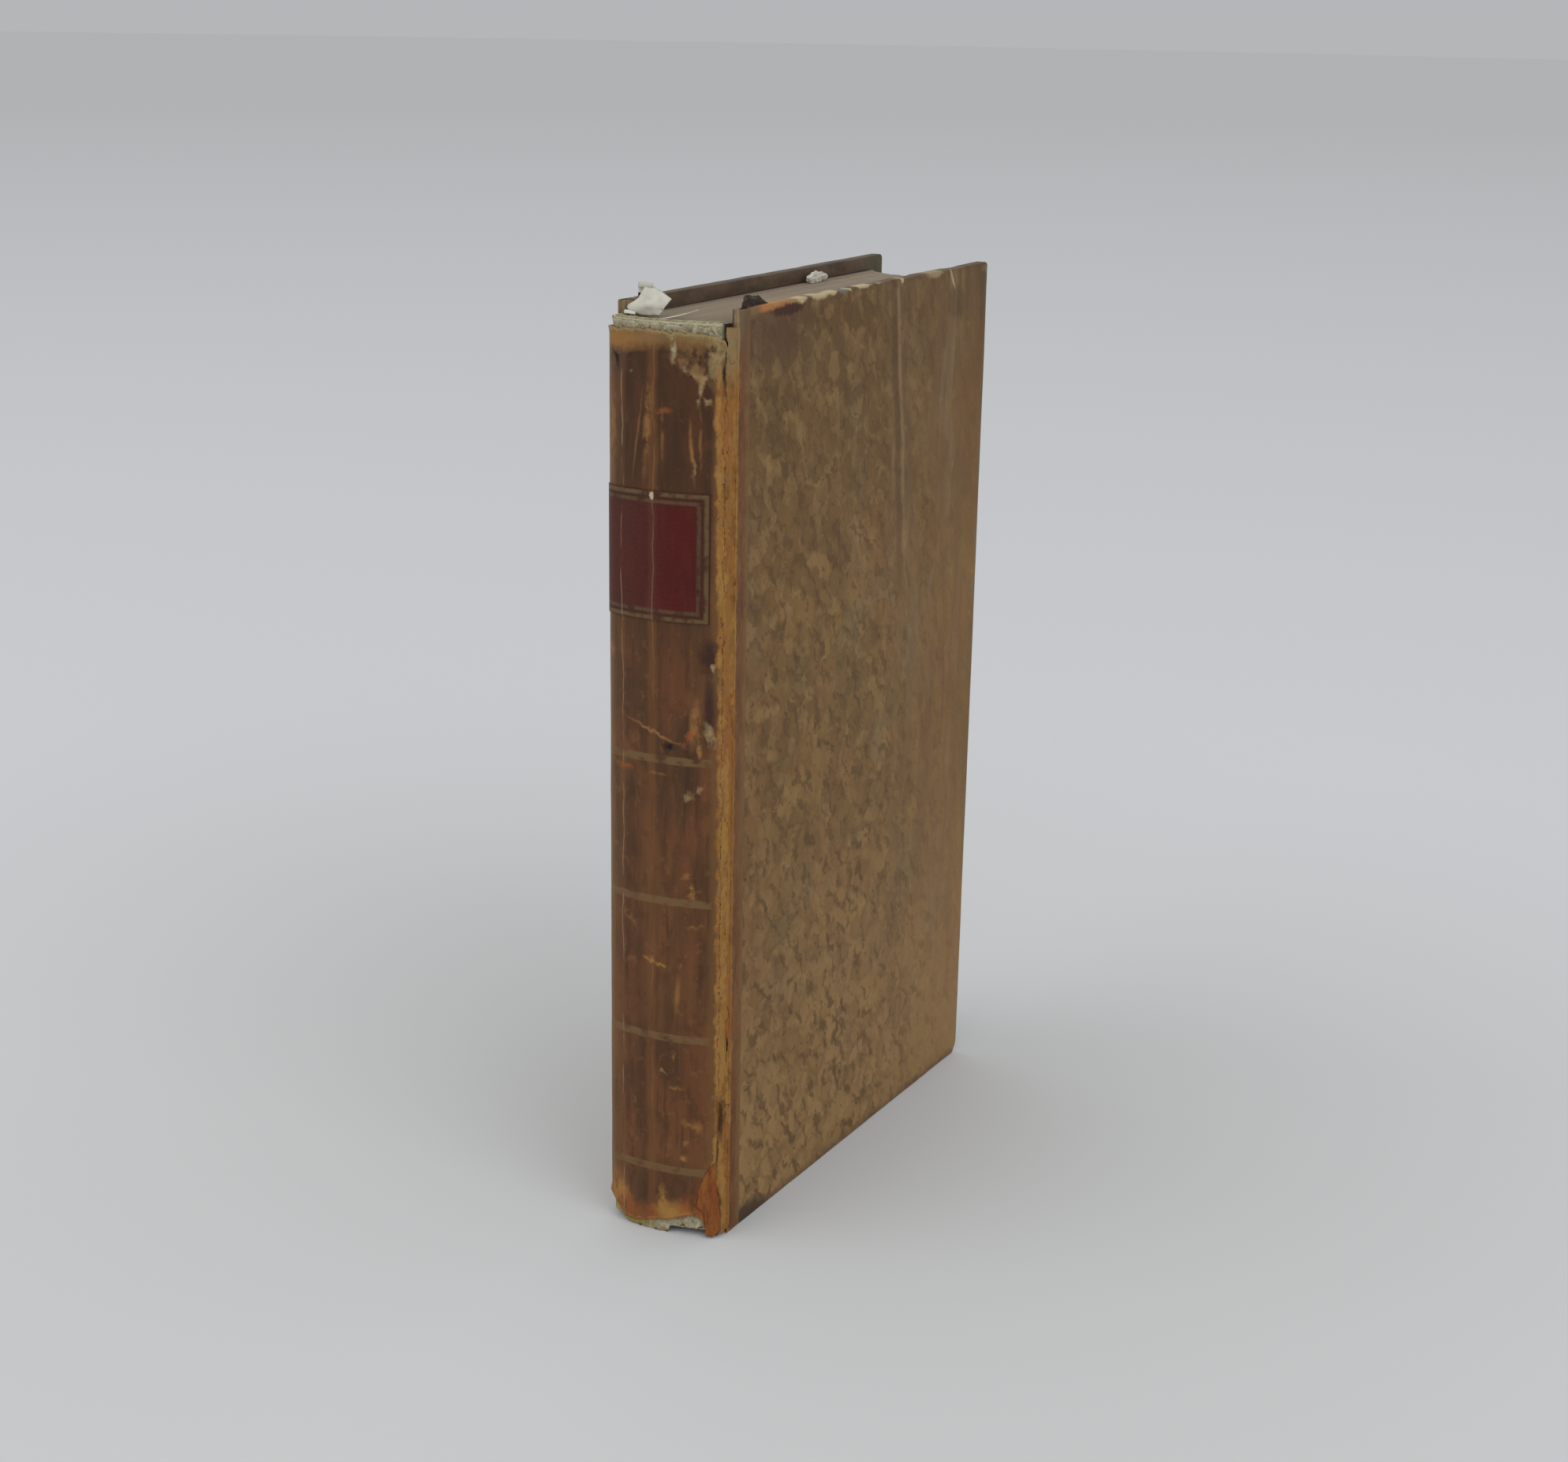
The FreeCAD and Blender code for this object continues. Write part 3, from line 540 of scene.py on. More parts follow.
def paste_paper(name, front):
    """Sprinkled brown paper. That of the front board has a crease and a chipped head edge."""
    material, tree, shader, place = start(name, 0.62)
    torn = ragged(tree, place, 2.4, 0.9)
    swirled = ragged(tree, torn, 5.0, 1.5)
    frayed = ragged(tree, place, 1.1, 0.35)
    lean = math.radians(-35)
    mottled = zone(tree, place, "Y", 125.0, 62.0)
    upright_zone = both(tree, zone(tree, place, "Y", 50.0, 90.0), zone(tree, place, "Z", -60.0, 130.0))
    patchy = speckle(tree, place, (13.0, 12.0, 15.0), 0.38, 0.58, 1.0, seed=41.0)
    blotch = (6.0, 4.8, 5.0)
    lines = both(tree, cells(tree, swirled, blotch, 0.20, lean, 0.35), patchy, mottled)
    strokes = speckle(tree, swirled, (5.0, 2.4, 6.4), 0.53, 0.64, 0.75, seed=4.0, lean=lean)
    clouds = speckle(tree, swirled, (7.0, 4.0, 9.0), 0.50, 0.66, 0.45, seed=6.0, lean=lean)
    flecks = speckle(tree, frayed, (2.4, 1.8, 2.6), 0.63, 0.69, 0.6, seed=16.0, lean=lean)
    streaked = ragged(tree, place, 16.0, 1.6)
    dark_streaks = speckle(tree, streaked, (8.0, 5.0, 60.0), 0.46, 0.62, 0.60, seed=8.0)
    pale_streaks = speckle(tree, streaked, (8.0, 6.0, 80.0), 0.52, 0.66, 0.50, seed=9.0)
    fine_streaks = speckle(tree, streaked, (8.0, 2.2, 24.0), 0.58, 0.72, 0.35, seed=19.0)
    layers = [
        (speckle(tree, place, (26.0, 24.0, 34.0), 0.40, 0.60, 0.60, seed=1.0), "#80633a"),
        (speckle(tree, place, (20.0, 18.0, 24.0), 0.45, 0.62, 0.55, seed=2.0), "#67502c"),
        (speckle(tree, place, (24.0, 20.0, 30.0), 0.50, 0.66, 0.50, seed=51.0), "#7a5538"),
        (speckle(tree, place, (18.0, 15.0, 20.0), 0.54, 0.66, 0.55, seed=61.0), "#655840"),
        (zone(tree, place, "Y", 40.0, 0.0, 0.45), "#694a26"),
        (zone(tree, place, "Z", 140.0, 203.0, 0.70), "#51381c"),
        (zone(tree, place, "Z", 95.0, 15.0, 0.75), "#91714a"),
        (both(tree, clouds, mottled), "#8b7048"),
        (both(tree, patches(tree, swirled, blotch, lean, 0.60, 0.90, 0.35), mottled), "#8f7247"),
        (both(tree, patches(tree, swirled, blotch, lean, 0.40, 0.10, 0.35), mottled), "#5c4526"),
        (both(tree, strokes, mottled), "#563f24"),
        (lines, "#4f3a1f"),
        (both(tree, flecks, mottled), "#48341e"),
        (both(tree, dark_streaks, upright_zone), "#6b5036"),
        (both(tree, pale_streaks, upright_zone), "#7f6a4e"),
        (both(tree, fine_streaks, upright_zone), "#5a442b"),
        (speckle(tree, torn, (1.8, 1.5, 2.0), 0.66, 0.72, 0.35, seed=11.0), "#927849"),
        (zone(tree, torn, "Y", 116.2, 117.3, 0.7), "#4c3f2f"),
        (zone(tree, torn, "Z", 2.2, 0.6, 0.5), "#54412c"),
        (zone(tree, torn, "Z", 203.2, 205.0, 0.6), "#4a3822"),
    ]
    if front:
        wander = ragged(tree, place, 14.0, 0.9)
        across = add(tree, "SeparateXYZ", {0: wander}, out="Y")
        up = add(tree, "SeparateXYZ", {0: place}, out="Z")
        crease = add(tree, "Math", {0: up, 1: CREASE_LEAN, 2: across}, operation="MULTIPLY_ADD")
        crease_zone = zone(tree, place, "Z", 120.0, 165.0)
        rubbed = speckle(tree, place, (4.0, 4.0, 9.0), 0.34, 0.60, 1.0, seed=44.0)
        tear_turned = (math.radians(33), 0, 0)
        layers += [
            (both(tree, near(tree, crease, 95.4, 0.30, 0.55, 0.9), crease_zone, rubbed), "#8b7355"),
            (both(tree, near(tree, crease, 93.0, 0.7, 0.60, 1.3), crease_zone), "#4f3a23"),
            (both(tree, near(tree, crease, 98.2, 0.9, 0.35, 1.6), crease_zone), "#5e4833"),
            (spot(tree, torn, (0, 12.0, 200.5), (THROUGH, 13.5, 7.0), 0.55, soft=0.6), "#4a3224"),
            (spot(tree, frayed, (0, 20.5, 203.2), (THROUGH, 6.8, 1.2), 0.85), PURPLE),
            (spot(tree, torn, (0, 8.0, 0.6), (THROUGH, 9.0, 3.4), 0.85), "#3b2c20"),
            (spot(tree, frayed, (0, 97.5, 202.6), (THROUGH, 0.5, 3.0), 0.9, tear_turned), "#9c8a6a"),
            (spot(tree, torn, (0, 100.0, 197.0), (THROUGH, 5.5, 3.5), 0.5), "#503c25"),
            (spot(tree, torn, (0, 115.0, 203.4), (THROUGH, 1.8, 1.0), 0.7), "#7d6947"),
            (spot(tree, torn, (0, 114.0, 198.0), (THROUGH, 1.6, 7.0), 0.6), "#48402e"),
        ]
        for middle, half, depth, code in HEAD_CHIPS:
            layers.append((spot(tree, frayed, (0, middle, 205.2), (THROUGH, half, depth), 0.95), code))
        inner_face = zone(tree, place, "X", 12.2, 11.9)
    else:
        shut = add(tree, "VectorRotate", {"Vector": place, "Angle": -BACK_SPLAY}, rotation_type="Z_AXIS")
        inner_face = zone(tree, shut, "X", -12.5, -12.2)
        layers.append((zone(tree, place, "Z", 203.8, 204.6, 0.8), "#4b4131"))
    # The inner face of the board is dark brown, and greener along the fore edge.
    clouded = speckle(tree, place, (9.0, 9.0, 3.0), 0.42, 0.62, 0.6, seed=71.0)
    layers += [
        (both(tree, inner_face, zone(tree, place, "Y", 109.5, 107.0)), "#574535"),
        (both(tree, inner_face, zone(tree, place, "Y", 107.0, 109.5)), "#4a4430"),
        (both(tree, inner_face, clouded), "#3a2d23"),
    ]
    colour = layered(tree, "#765831", layers)
    fibre = speckle(tree, place, (0.8, 0.5, 4.0), 0.3, 0.7, 0.5, seed=20.0)
    pebble = speckle(tree, torn, (3.6, 2.6, 4.4), 0.3, 0.7, 1.0, seed=6.0, lean=lean)
    dress(tree, shader, colour, add(tree, "Math", {0: fibre, 1: pebble}, operation="ADD"), 0.14)
    return material


front_paper = paste_paper("sprinkled_paste_paper_front", True)
back_paper = paste_paper("sprinkled_paste_paper_back", False)
print("paste paper", len(front_paper.node_tree.nodes), "nodes")

# %% [markdown]
# ## Calf along the joint of each board
# The leather runs a few millimetres on to each board under the edge of the paper. It is redder
# than the spine, and rubbed orange right beside the joint.

# %% Joint calf


def joint_calf():
    """Calf on a board: red brown, raw beside the joint and grey at the head."""
    material, tree, shader, place = start("joint_calf", 0.55)
    torn = ragged(tree, place, 2.0, 0.4)
    skin = layered(tree, "#67411f", [
        (speckle(tree, torn, (5.0, 4.0, 18.0), 0.42, 0.60, 0.7, seed=1.0), "#704b26"),
        (speckle(tree, torn, (4.0, 3.0, 12.0), 0.48, 0.62, 0.7, seed=2.0), "#5a361f"),
        (speckle(tree, torn, (3.0, 2.0, 5.0), 0.54, 0.66, 0.6, seed=7.0), "#745230"),
        (speckle(tree, place, (1.5, 0.9, 6.0), 0.58, 0.70, 0.5, seed=3.0), "#462b17"),
        (zone(tree, ragged(tree, place, 2.6, 1.2), "Y", 3.4, 5.4, 0.75), "#6f5432"),
        (zone(tree, torn, "Z", 190.0, 203.0, 0.8), "#5f4730"),
        (spot(tree, torn, (0, 1.0, 203.0), (THROUGH, 1.9, 5.5), 0.85), "#62523d"),
    ])
    raw = zone(tree, ragged(tree, place, 3.2, 0.9), "Y", 1.5, 0.6)
    colour = add(tree, "Mix", {0: raw, 6: skin, 7: raw_leather(tree, place)}, out=2, data_type="RGBA")
    grain = speckle(tree, place, (0.4, 0.4, 2.0), 0.3, 0.7, 1.0, seed=30.0)
    dress(tree, shader, colour, grain, 0.12)
    return material


def rubbed_calf():
    """The flesh of the calf alone, for the strip that bends at each joint."""
    material, tree, shader, place = start("rubbed_calf", 0.7)
    grain = speckle(tree, place, (0.4, 0.4, 5.0), 0.3, 0.7, 1.0, seed=30.0)
    dress(tree, shader, raw_leather(tree, place), grain, 0.2)
    return material


edge_calf = joint_calf()
flesh_calf = rubbed_calf()
print("joint calf ready")

# %% [markdown]
# ## Leaves, lining and the plain parts
# The edges of the leaves are rough-cut rag paper, grey-brown with dust. Each leaf is a thin line
# across the thickness of the book, so a noise that is very fine along X and very long the other
# two ways draws the leaves on the head, tail and fore edge at once. A real leaf is about 0.1 mm
# thick, which is too fine to show, so the lines are drawn three times as coarse.

# %% Leaves


def rag_leaves():
    """Leaves: dusty lines along their edges, painted shade by the lifted sliver, and plain stained paper on
    the first and last page.
    """
    material, tree, shader, place = start("rag_leaves", 0.85)
    torn = ragged(tree, place, 1.5, 0.4)
    leaf = speckle(tree, place, (0.3, 300.0, 300.0), 0.3, 0.7, 1.0, seed=2.0)
    facing = add(tree, "NewGeometry", {}, out="Normal")
    sideways = add(tree, "SeparateXYZ", {0: facing}, out="X")
    steep = add(tree, "Math", {0: sideways}, operation="ABSOLUTE")
    side = add(tree, "MapRange", {"Value": steep, "From Min": 0.8, "From Max": 0.95})
    edge = layered(tree, "#857868", [
        (leaf, "#74685a"),
        (speckle(tree, place, (2.5, 30.0, 30.0), 0.45, 0.65, 0.5, seed=4.0), "#8f8270"),
        (speckle(tree, place, (9.0, 9.0, 9.0), 0.45, 0.65, 0.4, seed=5.0), "#786a58"),
        (zone(tree, place, "Y", 14.0, -5.0, 0.5), "#716353"),
        # Painted shade: a near black patch on the head of the leaves beside the lifted sliver, for the hollow
        # of the tear under it.
        (spot(tree, torn, (1.8, -4.4, 201.8), (3.4, 1.1, 2.0), 0.9), "#3a2a1c"),
    ])
    face = layered(tree, "#b5a78c", [
        (speckle(tree, place, (9.0, 14.0, 16.0), 0.42, 0.64, 0.6, seed=7.0), "#a6967a"),
        (speckle(tree, place, (1.5, 1.5, 1.5), 0.68, 0.74, 0.6, seed=8.0), "#8a6d47"),
        (zone(tree, torn, "Y", 96.0, 109.0, 0.6), "#8a7a60"),
        (zone(tree, torn, "Z", 190.0, 202.0, 0.5), "#8a7a60"),
        (zone(tree, torn, "Z", 14.0, 3.0, 0.5), "#8a7a60"),
    ])
    colour = add(tree, "Mix", {0: side, 6: edge, 7: face}, out=2, data_type="RGBA")
    dress(tree, shader, colour, leaf, 0.12)
    return material


def simple_finish(name, roughness, ground, layers, grain, depth_mm):
    """A plain material: a ground, speckle layers as (size, low, high, strength, colour), and a bump."""
    material, tree, shader, place = start(name, roughness)
    masks = []
    for number, (size, low, high, strength, code) in enumerate(layers):
        masks.append((speckle(tree, place, size, low, high, strength, seed=3.0 + 7 * number), code))
    height = speckle(tree, place, grain, 0.3, 0.7, 1.0, seed=50.0)
    dress(tree, shader, layered(tree, ground, masks), height, depth_mm)
    return material


def stained_lining():
    """Lining paper: thin, matt, stained green by old paste, dusty at the head, with painted shade in the
    crack.
    """
    material, tree, shader, place = start("stained_lining_paper", 0.85)
    torn = ragged(tree, place, 1.5, 0.4)
    # Painted shade: along the front edge of the lining, from about 150 mm up to the head, a near black stands
    # in for the shadow in the crack of the front joint.
    crack_shade = both(tree, zone(tree, torn, "X", 12.1, 12.8), zone(tree, place, "Z", 150.0, 160.0))
    at_left_foot = both(tree, zone(tree, torn, "X", 2.0, -5.0, 0.8), zone(tree, place, "Z", 8.0, 3.0))
    colour = layered(tree, "#98907a", [
        (speckle(tree, place, (2.0, 2.0, 1.5), 0.45, 0.60, 0.8, seed=3.0), "#7f7d5c"),
        (speckle(tree, torn, (1.2, 1.2, 2.2), 0.52, 0.62, 0.9, seed=10.0), "#b0a78c"),
        (speckle(tree, torn, (0.8, 0.8, 1.0), 0.60, 0.68, 0.8, seed=17.0), "#5e4c34"),
        (speckle(tree, torn, (3.0, 3.0, 3.0), 0.55, 0.65, 0.6, seed=24.0), "#7d6345"),
        (zone(tree, torn, "Z", 201.4, 202.0, 0.8), "#b5ab90"),
        (at_left_foot, "#8c7c3c"),
        (crack_shade, "#2b1d12"),
    ])
    dress(tree, shader, colour, speckle(tree, place, (0.5, 0.5, 0.5), 0.3, 0.7, seed=50.0), 0.2)
    return material


lining_paper = stained_lining()

# Endband: silk or linen thread over a thin core, one turn every 0.8 mm.
endband_thread = simple_finish("faded_endband_thread", 0.8, "#a39a7c", [
    ((0.8, 40.0, 40.0), 0.48, 0.52, 0.9, "#74775a"),
    ((2.0, 2.0, 2.0), 0.5, 0.65, 0.5, "#6a5a40"),
], (0.4, 4.0, 4.0), 0.2)

# Rag paper at a fresh tear: the clean white inside of a leaf.
torn_rag = simple_finish("torn_rag_paper", 0.8, "#c6c2b7", [
    ((2.2, 2.2, 2.6), 0.45, 0.65, 0.5, "#b0aca0"),
    ((0.5, 0.5, 0.5), 0.60, 0.70, 0.3, "#d6d2c8"),
], (0.6, 0.6, 0.6), 0.05)

# Hemp: laid fibres, matt and fawn.
hemp = simple_finish("hemp_cord", 0.85, "#9b8866", [
    ((0.5, 0.5, 1.6), 0.45, 0.60, 0.7, "#7d6a4a"),
], (0.3, 0.3, 1.2), 0.2)

# Pasteboard: layers of waste paper pasted together, so its edge shows lines along the board.
pasteboard = simple_finish("layered_pasteboard", 0.85, "#8c7b5f", [
    ((0.35, 30.0, 30.0), 0.45, 0.60, 0.7, "#6f5f48"),
    ((2.0, 2.0, 2.0), 0.55, 0.65, 0.5, "#a39474"),
], (0.4, 2.0, 2.0), 0.2)

# Pastedown: a plain dark brown sheet, browner where the turned-in leather has stained it.
dark_paper = simple_finish("dark_pastedown_paper", 0.75, "#463a30", [
    ((14.0, 16.0, 20.0), 0.42, 0.62, 0.7, "#3b3129"),
    ((5.0, 5.0, 9.0), 0.50, 0.66, 0.5, "#524336"),
    ((1.0, 1.0, 1.0), 0.62, 0.72, 0.5, "#2f2620"),
], (0.8, 0.6, 0.6), 0.08)

# Leather flake: the dark grain side of the calf, curled over.
flake_calf = simple_finish("curled_calf_flake", 0.6, "#2c1d12", [
    ((1.5, 1.5, 1.5), 0.45, 0.60, 0.7, "#1a110a"),
    ((1.0, 2.0, 0.6), 0.58, 0.68, 0.8, "#6d5336"),
], (0.5, 0.5, 0.5), 0.15)

# Foot flap: calf torn loose at the foot, its flesh side rubbed to a bright orange brown.
foot_calf = simple_finish("orange_calf_flap", 0.6, "#7b451e", [
    ((1.6, 1.6, 6.0), 0.45, 0.60, 0.7, "#8a5727"),
    ((1.0, 1.0, 3.0), 0.52, 0.66, 0.7, "#64381b"),
    ((0.4, 0.4, 2.5), 0.62, 0.70, 0.7, "#3d220e"),
], (0.4, 0.4, 4.0), 0.15)

leaves = rag_leaves()
print("plain finishes ready")

# %% [markdown]
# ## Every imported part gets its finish
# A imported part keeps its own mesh. Only the material in its slots changes.

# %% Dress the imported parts
PLAIN = {
    "text_block": leaves,
    "spine_lining": lining_paper,
    "spine_leather": calf,
    "title_label": morocco,
    "headband": endband_thread,
    "tailband": endband_thread,
    "torn_paper_flap": torn_rag,
    "lifted_sliver": torn_rag,
    "paper_scrap": torn_rag,
    "front_lifted_flake": flake_calf,
    "front_side_paper": front_paper,
    "back_side_paper": back_paper,
}
FAMILIES = {"slip": hemp, "sewing_cord": hemp, "pastedown": dark_paper, "joint_leather": edge_calf,
            "board": pasteboard}
for name, node in nodes.items():
    finish = PLAIN.get(name)
    for family, shared in FAMILIES.items():
        if finish is None and family in name:
            finish = shared
    node.data.materials.clear()
    node.data.materials.append(finish)
print("dressed", len(nodes), "parts")

# %% [markdown]
# ## Making a piece
# Every new piece starts in bmesh, is shaped by its operators, and ends as an object at the
# origin with its place in its mesh, riding on the cover or the spine that carries it.

# %% Helpers for pieces


def settle(bm, name, material, body, stands_for=()):
    """Makes a bmesh an object with a material, riding on a body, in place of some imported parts."""
    mesh = bpy.data.meshes.new(name)
    bm.to_mesh(mesh)
    bm.free()
    piece = bpy.data.objects.new(name, mesh)
    bpy.context.scene.collection.objects.link(piece)
    mesh.materials.append(material)
    if body is not None:
        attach(piece, body)
    if stands_for:
        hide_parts(*stands_for)
    print(name, len(mesh.polygons), "faces")
    return piece


def rough(x, y, size, seed=0.0):
    """A smooth random height from -1 to 1, whose hills are about size millimetres wide."""
    return noise.noise(Vector((x / size, y / size, seed)))


def smooth_faces(bm, limit_deg=35):
    """Shades a mesh smooth, but for edges sharper than the limit."""
    for face in bm.faces:
        face.smooth = True
    for edge in bm.edges:
        if edge.is_manifold and edge.calc_face_angle() > math.radians(limit_deg):
            edge.smooth = False


def merged_copy(node):
    """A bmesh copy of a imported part, with the corners of its loose triangles merged."""
    bm = bmesh.new()
    bm.from_mesh(nodes[node].data)
    bmesh.ops.remove_doubles(bm, verts=bm.verts, dist=1e-6)
    flat = math.radians(1)
    bmesh.ops.dissolve_limit(bm, angle_limit=flat, verts=bm.verts, edges=bm.edges)
    return bm


def slice_along(bm, axis, places):
    """Cuts a mesh with a plane across one axis at each of these places."""
    for place in places:
        point = Vector((0, 0, 0))
        point[axis] = place
        across = Vector((0, 0, 0))
        across[axis] = 1
        parts = bm.verts[:] + bm.edges[:] + bm.faces[:]
        bmesh.ops.bisect_plane(bm, geom=parts, plane_co=point, plane_no=across, dist=1e-7)


# %% [markdown]
# ## The spine's curve
# The crown of the spine is a wide arc that has sagged towards the back cover, between two small
# rolls that turn in to the joints. Walking along the three arcs gives any point on the leather
# and the way it faces, which places everything that is stuck to it.

# %% The spine's curve
CROWN_RADIUS = 38.0
CROWN_SAG = 4.0
FRONT_ROLL = 4.0
BACK_ROLL = 4.6
HALF_MM = SPINE_HALF / MM
CROWN_Y = (spine_low.y - JOINT_Y) / MM + CROWN_RADIUS


def roll_centre(side, radius):
    """The centre of the small roll on one side: it touches the widest line and the crown."""
    x = side * (HALF_MM - radius)
    return x, CROWN_Y - math.sqrt((CROWN_RADIUS - radius) ** 2 - (x + CROWN_SAG) ** 2)


def angle_from_crown(point):
    """The way from the crown's centre to a point, as an angle from 0 to a full turn."""
    return math.atan2(point[1] - CROWN_Y, point[0] + CROWN_SAG) % (2 * math.pi)


back_roll = roll_centre(-1, BACK_ROLL)
front_roll = roll_centre(1, FRONT_ROLL)
back_turn = angle_from_crown(back_roll)
front_turn = angle_from_crown(front_roll)
SPINE_RUNS = [
    (back_roll, BACK_ROLL, math.pi, back_turn),
    ((-CROWN_SAG, CROWN_Y), CROWN_RADIUS, back_turn, front_turn),
    (front_roll, FRONT_ROLL, front_turn, 2 * math.pi),
]
LEAD = -back_roll[1]
GIRTH = LEAD + sum(radius * (last - first) for _, radius, first, last in SPINE_RUNS)


def spine_point(share):
    """The point (x, y) on the leather at a share of its girth, and the way (x, y) that it faces."""
    travel = share * GIRTH - LEAD
    if travel < 0:
        return -HALF_MM, -travel - LEAD, -1.0, 0.0
    for centre, radius, first, last in SPINE_RUNS:
        angle = min(first + travel / radius, last)
        if angle < last:
            break
        travel -= radius * (last - first)
    facing = (math.cos(angle), math.sin(angle))
    return centre[0] + radius * facing[0], centre[1] + radius * facing[1], *facing


def share_at(across):
    """The share of the girth at which the leather lies this far across the spine."""
    low, high = 0.0, 1.0
    for _ in range(30):
        middle = (low + high) / 2
        if spine_point(middle)[0] < across:
            low = middle
        else:
            high = middle
    return low


def along(line, place):
    """The value at a place along a broken line of (place, value) points."""
    if place <= line[0][0]:
        return line[0][1]
    for (first, value), (last, next_value) in zip(line, line[1:]):
        if place <= last:
            return value + (next_value - value) * (place - first) / (last - first)
    return line[-1][1]


print("girth of the spine", round(GIRTH, 1), "mm")

# %% [markdown]
# ## Worn spine leather
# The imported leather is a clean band, torn back in straight steps. Here it is a fine grid bent
# over the same curve, so that its head and foot can fray, its cracks can sink and its scuffs can
# lose their surface. Each corner also keeps how far it is from the torn edge, because calf tears
# pale. Solidify then gives the grid the thickness of the calf.

# %% Spine leather
LEATHER_THICK = 0.8
GRID_ACROSS = 84
GRID_UP = 400
# Each crack that was sunk along the spine: its place and its depth. All are this wide.
CRACKS = [(BACK_CRACK_X + 0.3, 0.16), (MIDDLE_CRACK_X + 0.2, 0.18)]
CRACK_WIDE = 0.35
SCUFF_DEEP = 0.09
# Next to a tear the leather curls up: how far in from the edge, and how high.
CURL_REACH = 1.6
CURL_HIGH = 0.3
# A torn edge: places across the spine, as shares of its half width, and the millimetres lost there.
HEAD_TORN = [(-0.7, 0.5), (-0.4, 0.2), (-0.18, 0.1), (0.07, 0.2), (0.2, 0.9), (0.31, 0.3), (0.52, 0.5),
             (0.65, 0.6), (0.79, 0.8), (0.88, 1.0), (0.95, 1.8), (0.985, 6.0)]
FOOT_TORN = [(-0.9, 5.6), (-0.78, 4.2), (-0.55, 0.9), (-0.36, 1.2), (-0.1, 2.1), (0.12, 2.6), (0.34, 3.5),
             (0.44, 4.3), (0.62, 4.6), (0.76, 4.2), (0.82, 1.2), (0.93, 0.2)]


def torn_depth(x, line, seed):
    """How far an edge is torn back at x: the torn line, frayed by a noise."""
    return max(0.0, along(line, x / HALF_MM) + 0.3 * rough(x, 0, 1.3, seed) + 0.3 * rough(x, 9, 0.5, seed))


def spine_relief(x, z):
    """How far the leather stands above its own curve, in millimetres."""
    height = 0.05 * rough(x, z / 7, 2.2, 1.0) + 0.05 * rough(x, z, 7.0, 2.0)
    for crack_x, deep in CRACKS:
        away = (x - crack_x - 0.5 * rough(0, z, 9.0, crack_x)) / CRACK_WIDE
        height -= deep * math.exp(-away * away)
    for middle_x, middle_z, half_x, half_z, _, strength, _ in SPINE_MARKS:
        if abs(z - middle_z) < half_z + 1 and half_x < STAIN_HALF:
            away = ((x - middle_x) / half_x) ** 2 + ((z - middle_z) / half_z) ** 2
            height -= SCUFF_DEEP * strength * max(0.0, 1 - away)
    return height


low_z = spine_low.z / MM
high_z = spine_high.z / MM
bm = bmesh.new()
bmesh.ops.create_grid(bm, x_segments=GRID_ACROSS, y_segments=GRID_UP, size=0.5)
from_tear = bm.verts.layers.float.new("from_tear")
for vert in bm.verts:
    x, y, facing_x, facing_y = spine_point(vert.co.x + 0.5)
    foot = low_z + torn_depth(x, FOOT_TORN, 3.0)
    head = high_z - torn_depth(x, HEAD_TORN, 5.0)
    z = foot + (head - foot) * (vert.co.y + 0.5)
    vert[from_tear] = min(head - z, z - foot)
    lift = spine_relief(x, z)
    curl = max(0.0, 1 - min(head - z, z - foot) / CURL_REACH)
    lift += CURL_HIGH * curl * curl * (0.6 + rough(x, z, 2.5, 7.0))
    vert.co = at(x + lift * facing_x, y + lift * facing_y, z)
smooth_faces(bm, 80)
spine = settle(bm, "worn_spine_leather", calf, "root", ["spine_leather"])
thickness = spine.modifiers.new("thickness", "SOLIDIFY")
thickness.thickness = LEATHER_THICK * MM
thickness.offset = -1

# %% [markdown]
# ## The joints
# At each joint the leather is one skin that bends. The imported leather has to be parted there, so
# a thin strip of rubbed calf bridges the crack. It follows the spine on one side and the cover on
# the other, and it has two torn slits near the tail, where faces are taken away.

# %% Joint strips
STRIP_THICK = 0.12
STRIP_LIFT = 0.05
STRIP_ACROSS = 12
STRIP_UP = 260
STRIP_HEAD_Z = 201.6
STRIP_FOOT_Z = 1.2
FIRST_ANGLE = -34
LAST_Y = 1.15
# The share of the strip that lies on the spine's roll, and the step from there out to the board.
ROLL_SHARE = 0.6
BOARD_STEP = 0.4
# Each slit: the heights that it runs between, and its two sides as shares of the strip.
SLITS = [(18.0, 33.0, 0.30, 0.52), (42.0, 49.0, 0.45, 0.62)]


def strip_point(share, wander):
    """A point across the front joint, from the spine's roll (0) round to the board (1)."""
    first = math.radians(FIRST_ANGLE + 9 * wander)
    if share < ROLL_SHARE:
        angle = first * (1 - share / ROLL_SHARE)
        reach = FRONT_ROLL + STRIP_LIFT
        return front_roll[0] + reach * math.cos(angle), front_roll[1] + reach * math.sin(angle)
    over = (share - ROLL_SHARE) / (1 - ROLL_SHARE)
    swing = over * over * (3 - 2 * over)
    across = HALF_MM + STRIP_LIFT + BOARD_STEP * min(1.0, 1.7 * swing)
    return across, over * (LAST_Y + 0.3 * wander)


def mirror_to_back(bm):
    """Turns a piece of the front cover into the same piece of the back cover."""
    bmesh.ops.scale(bm, vec=(-1, 1, 1), space=Matrix.Translation((-SPINE_MIDDLE, 0, 0)), verts=bm.verts)
    bmesh.ops.reverse_faces(bm, faces=bm.faces)


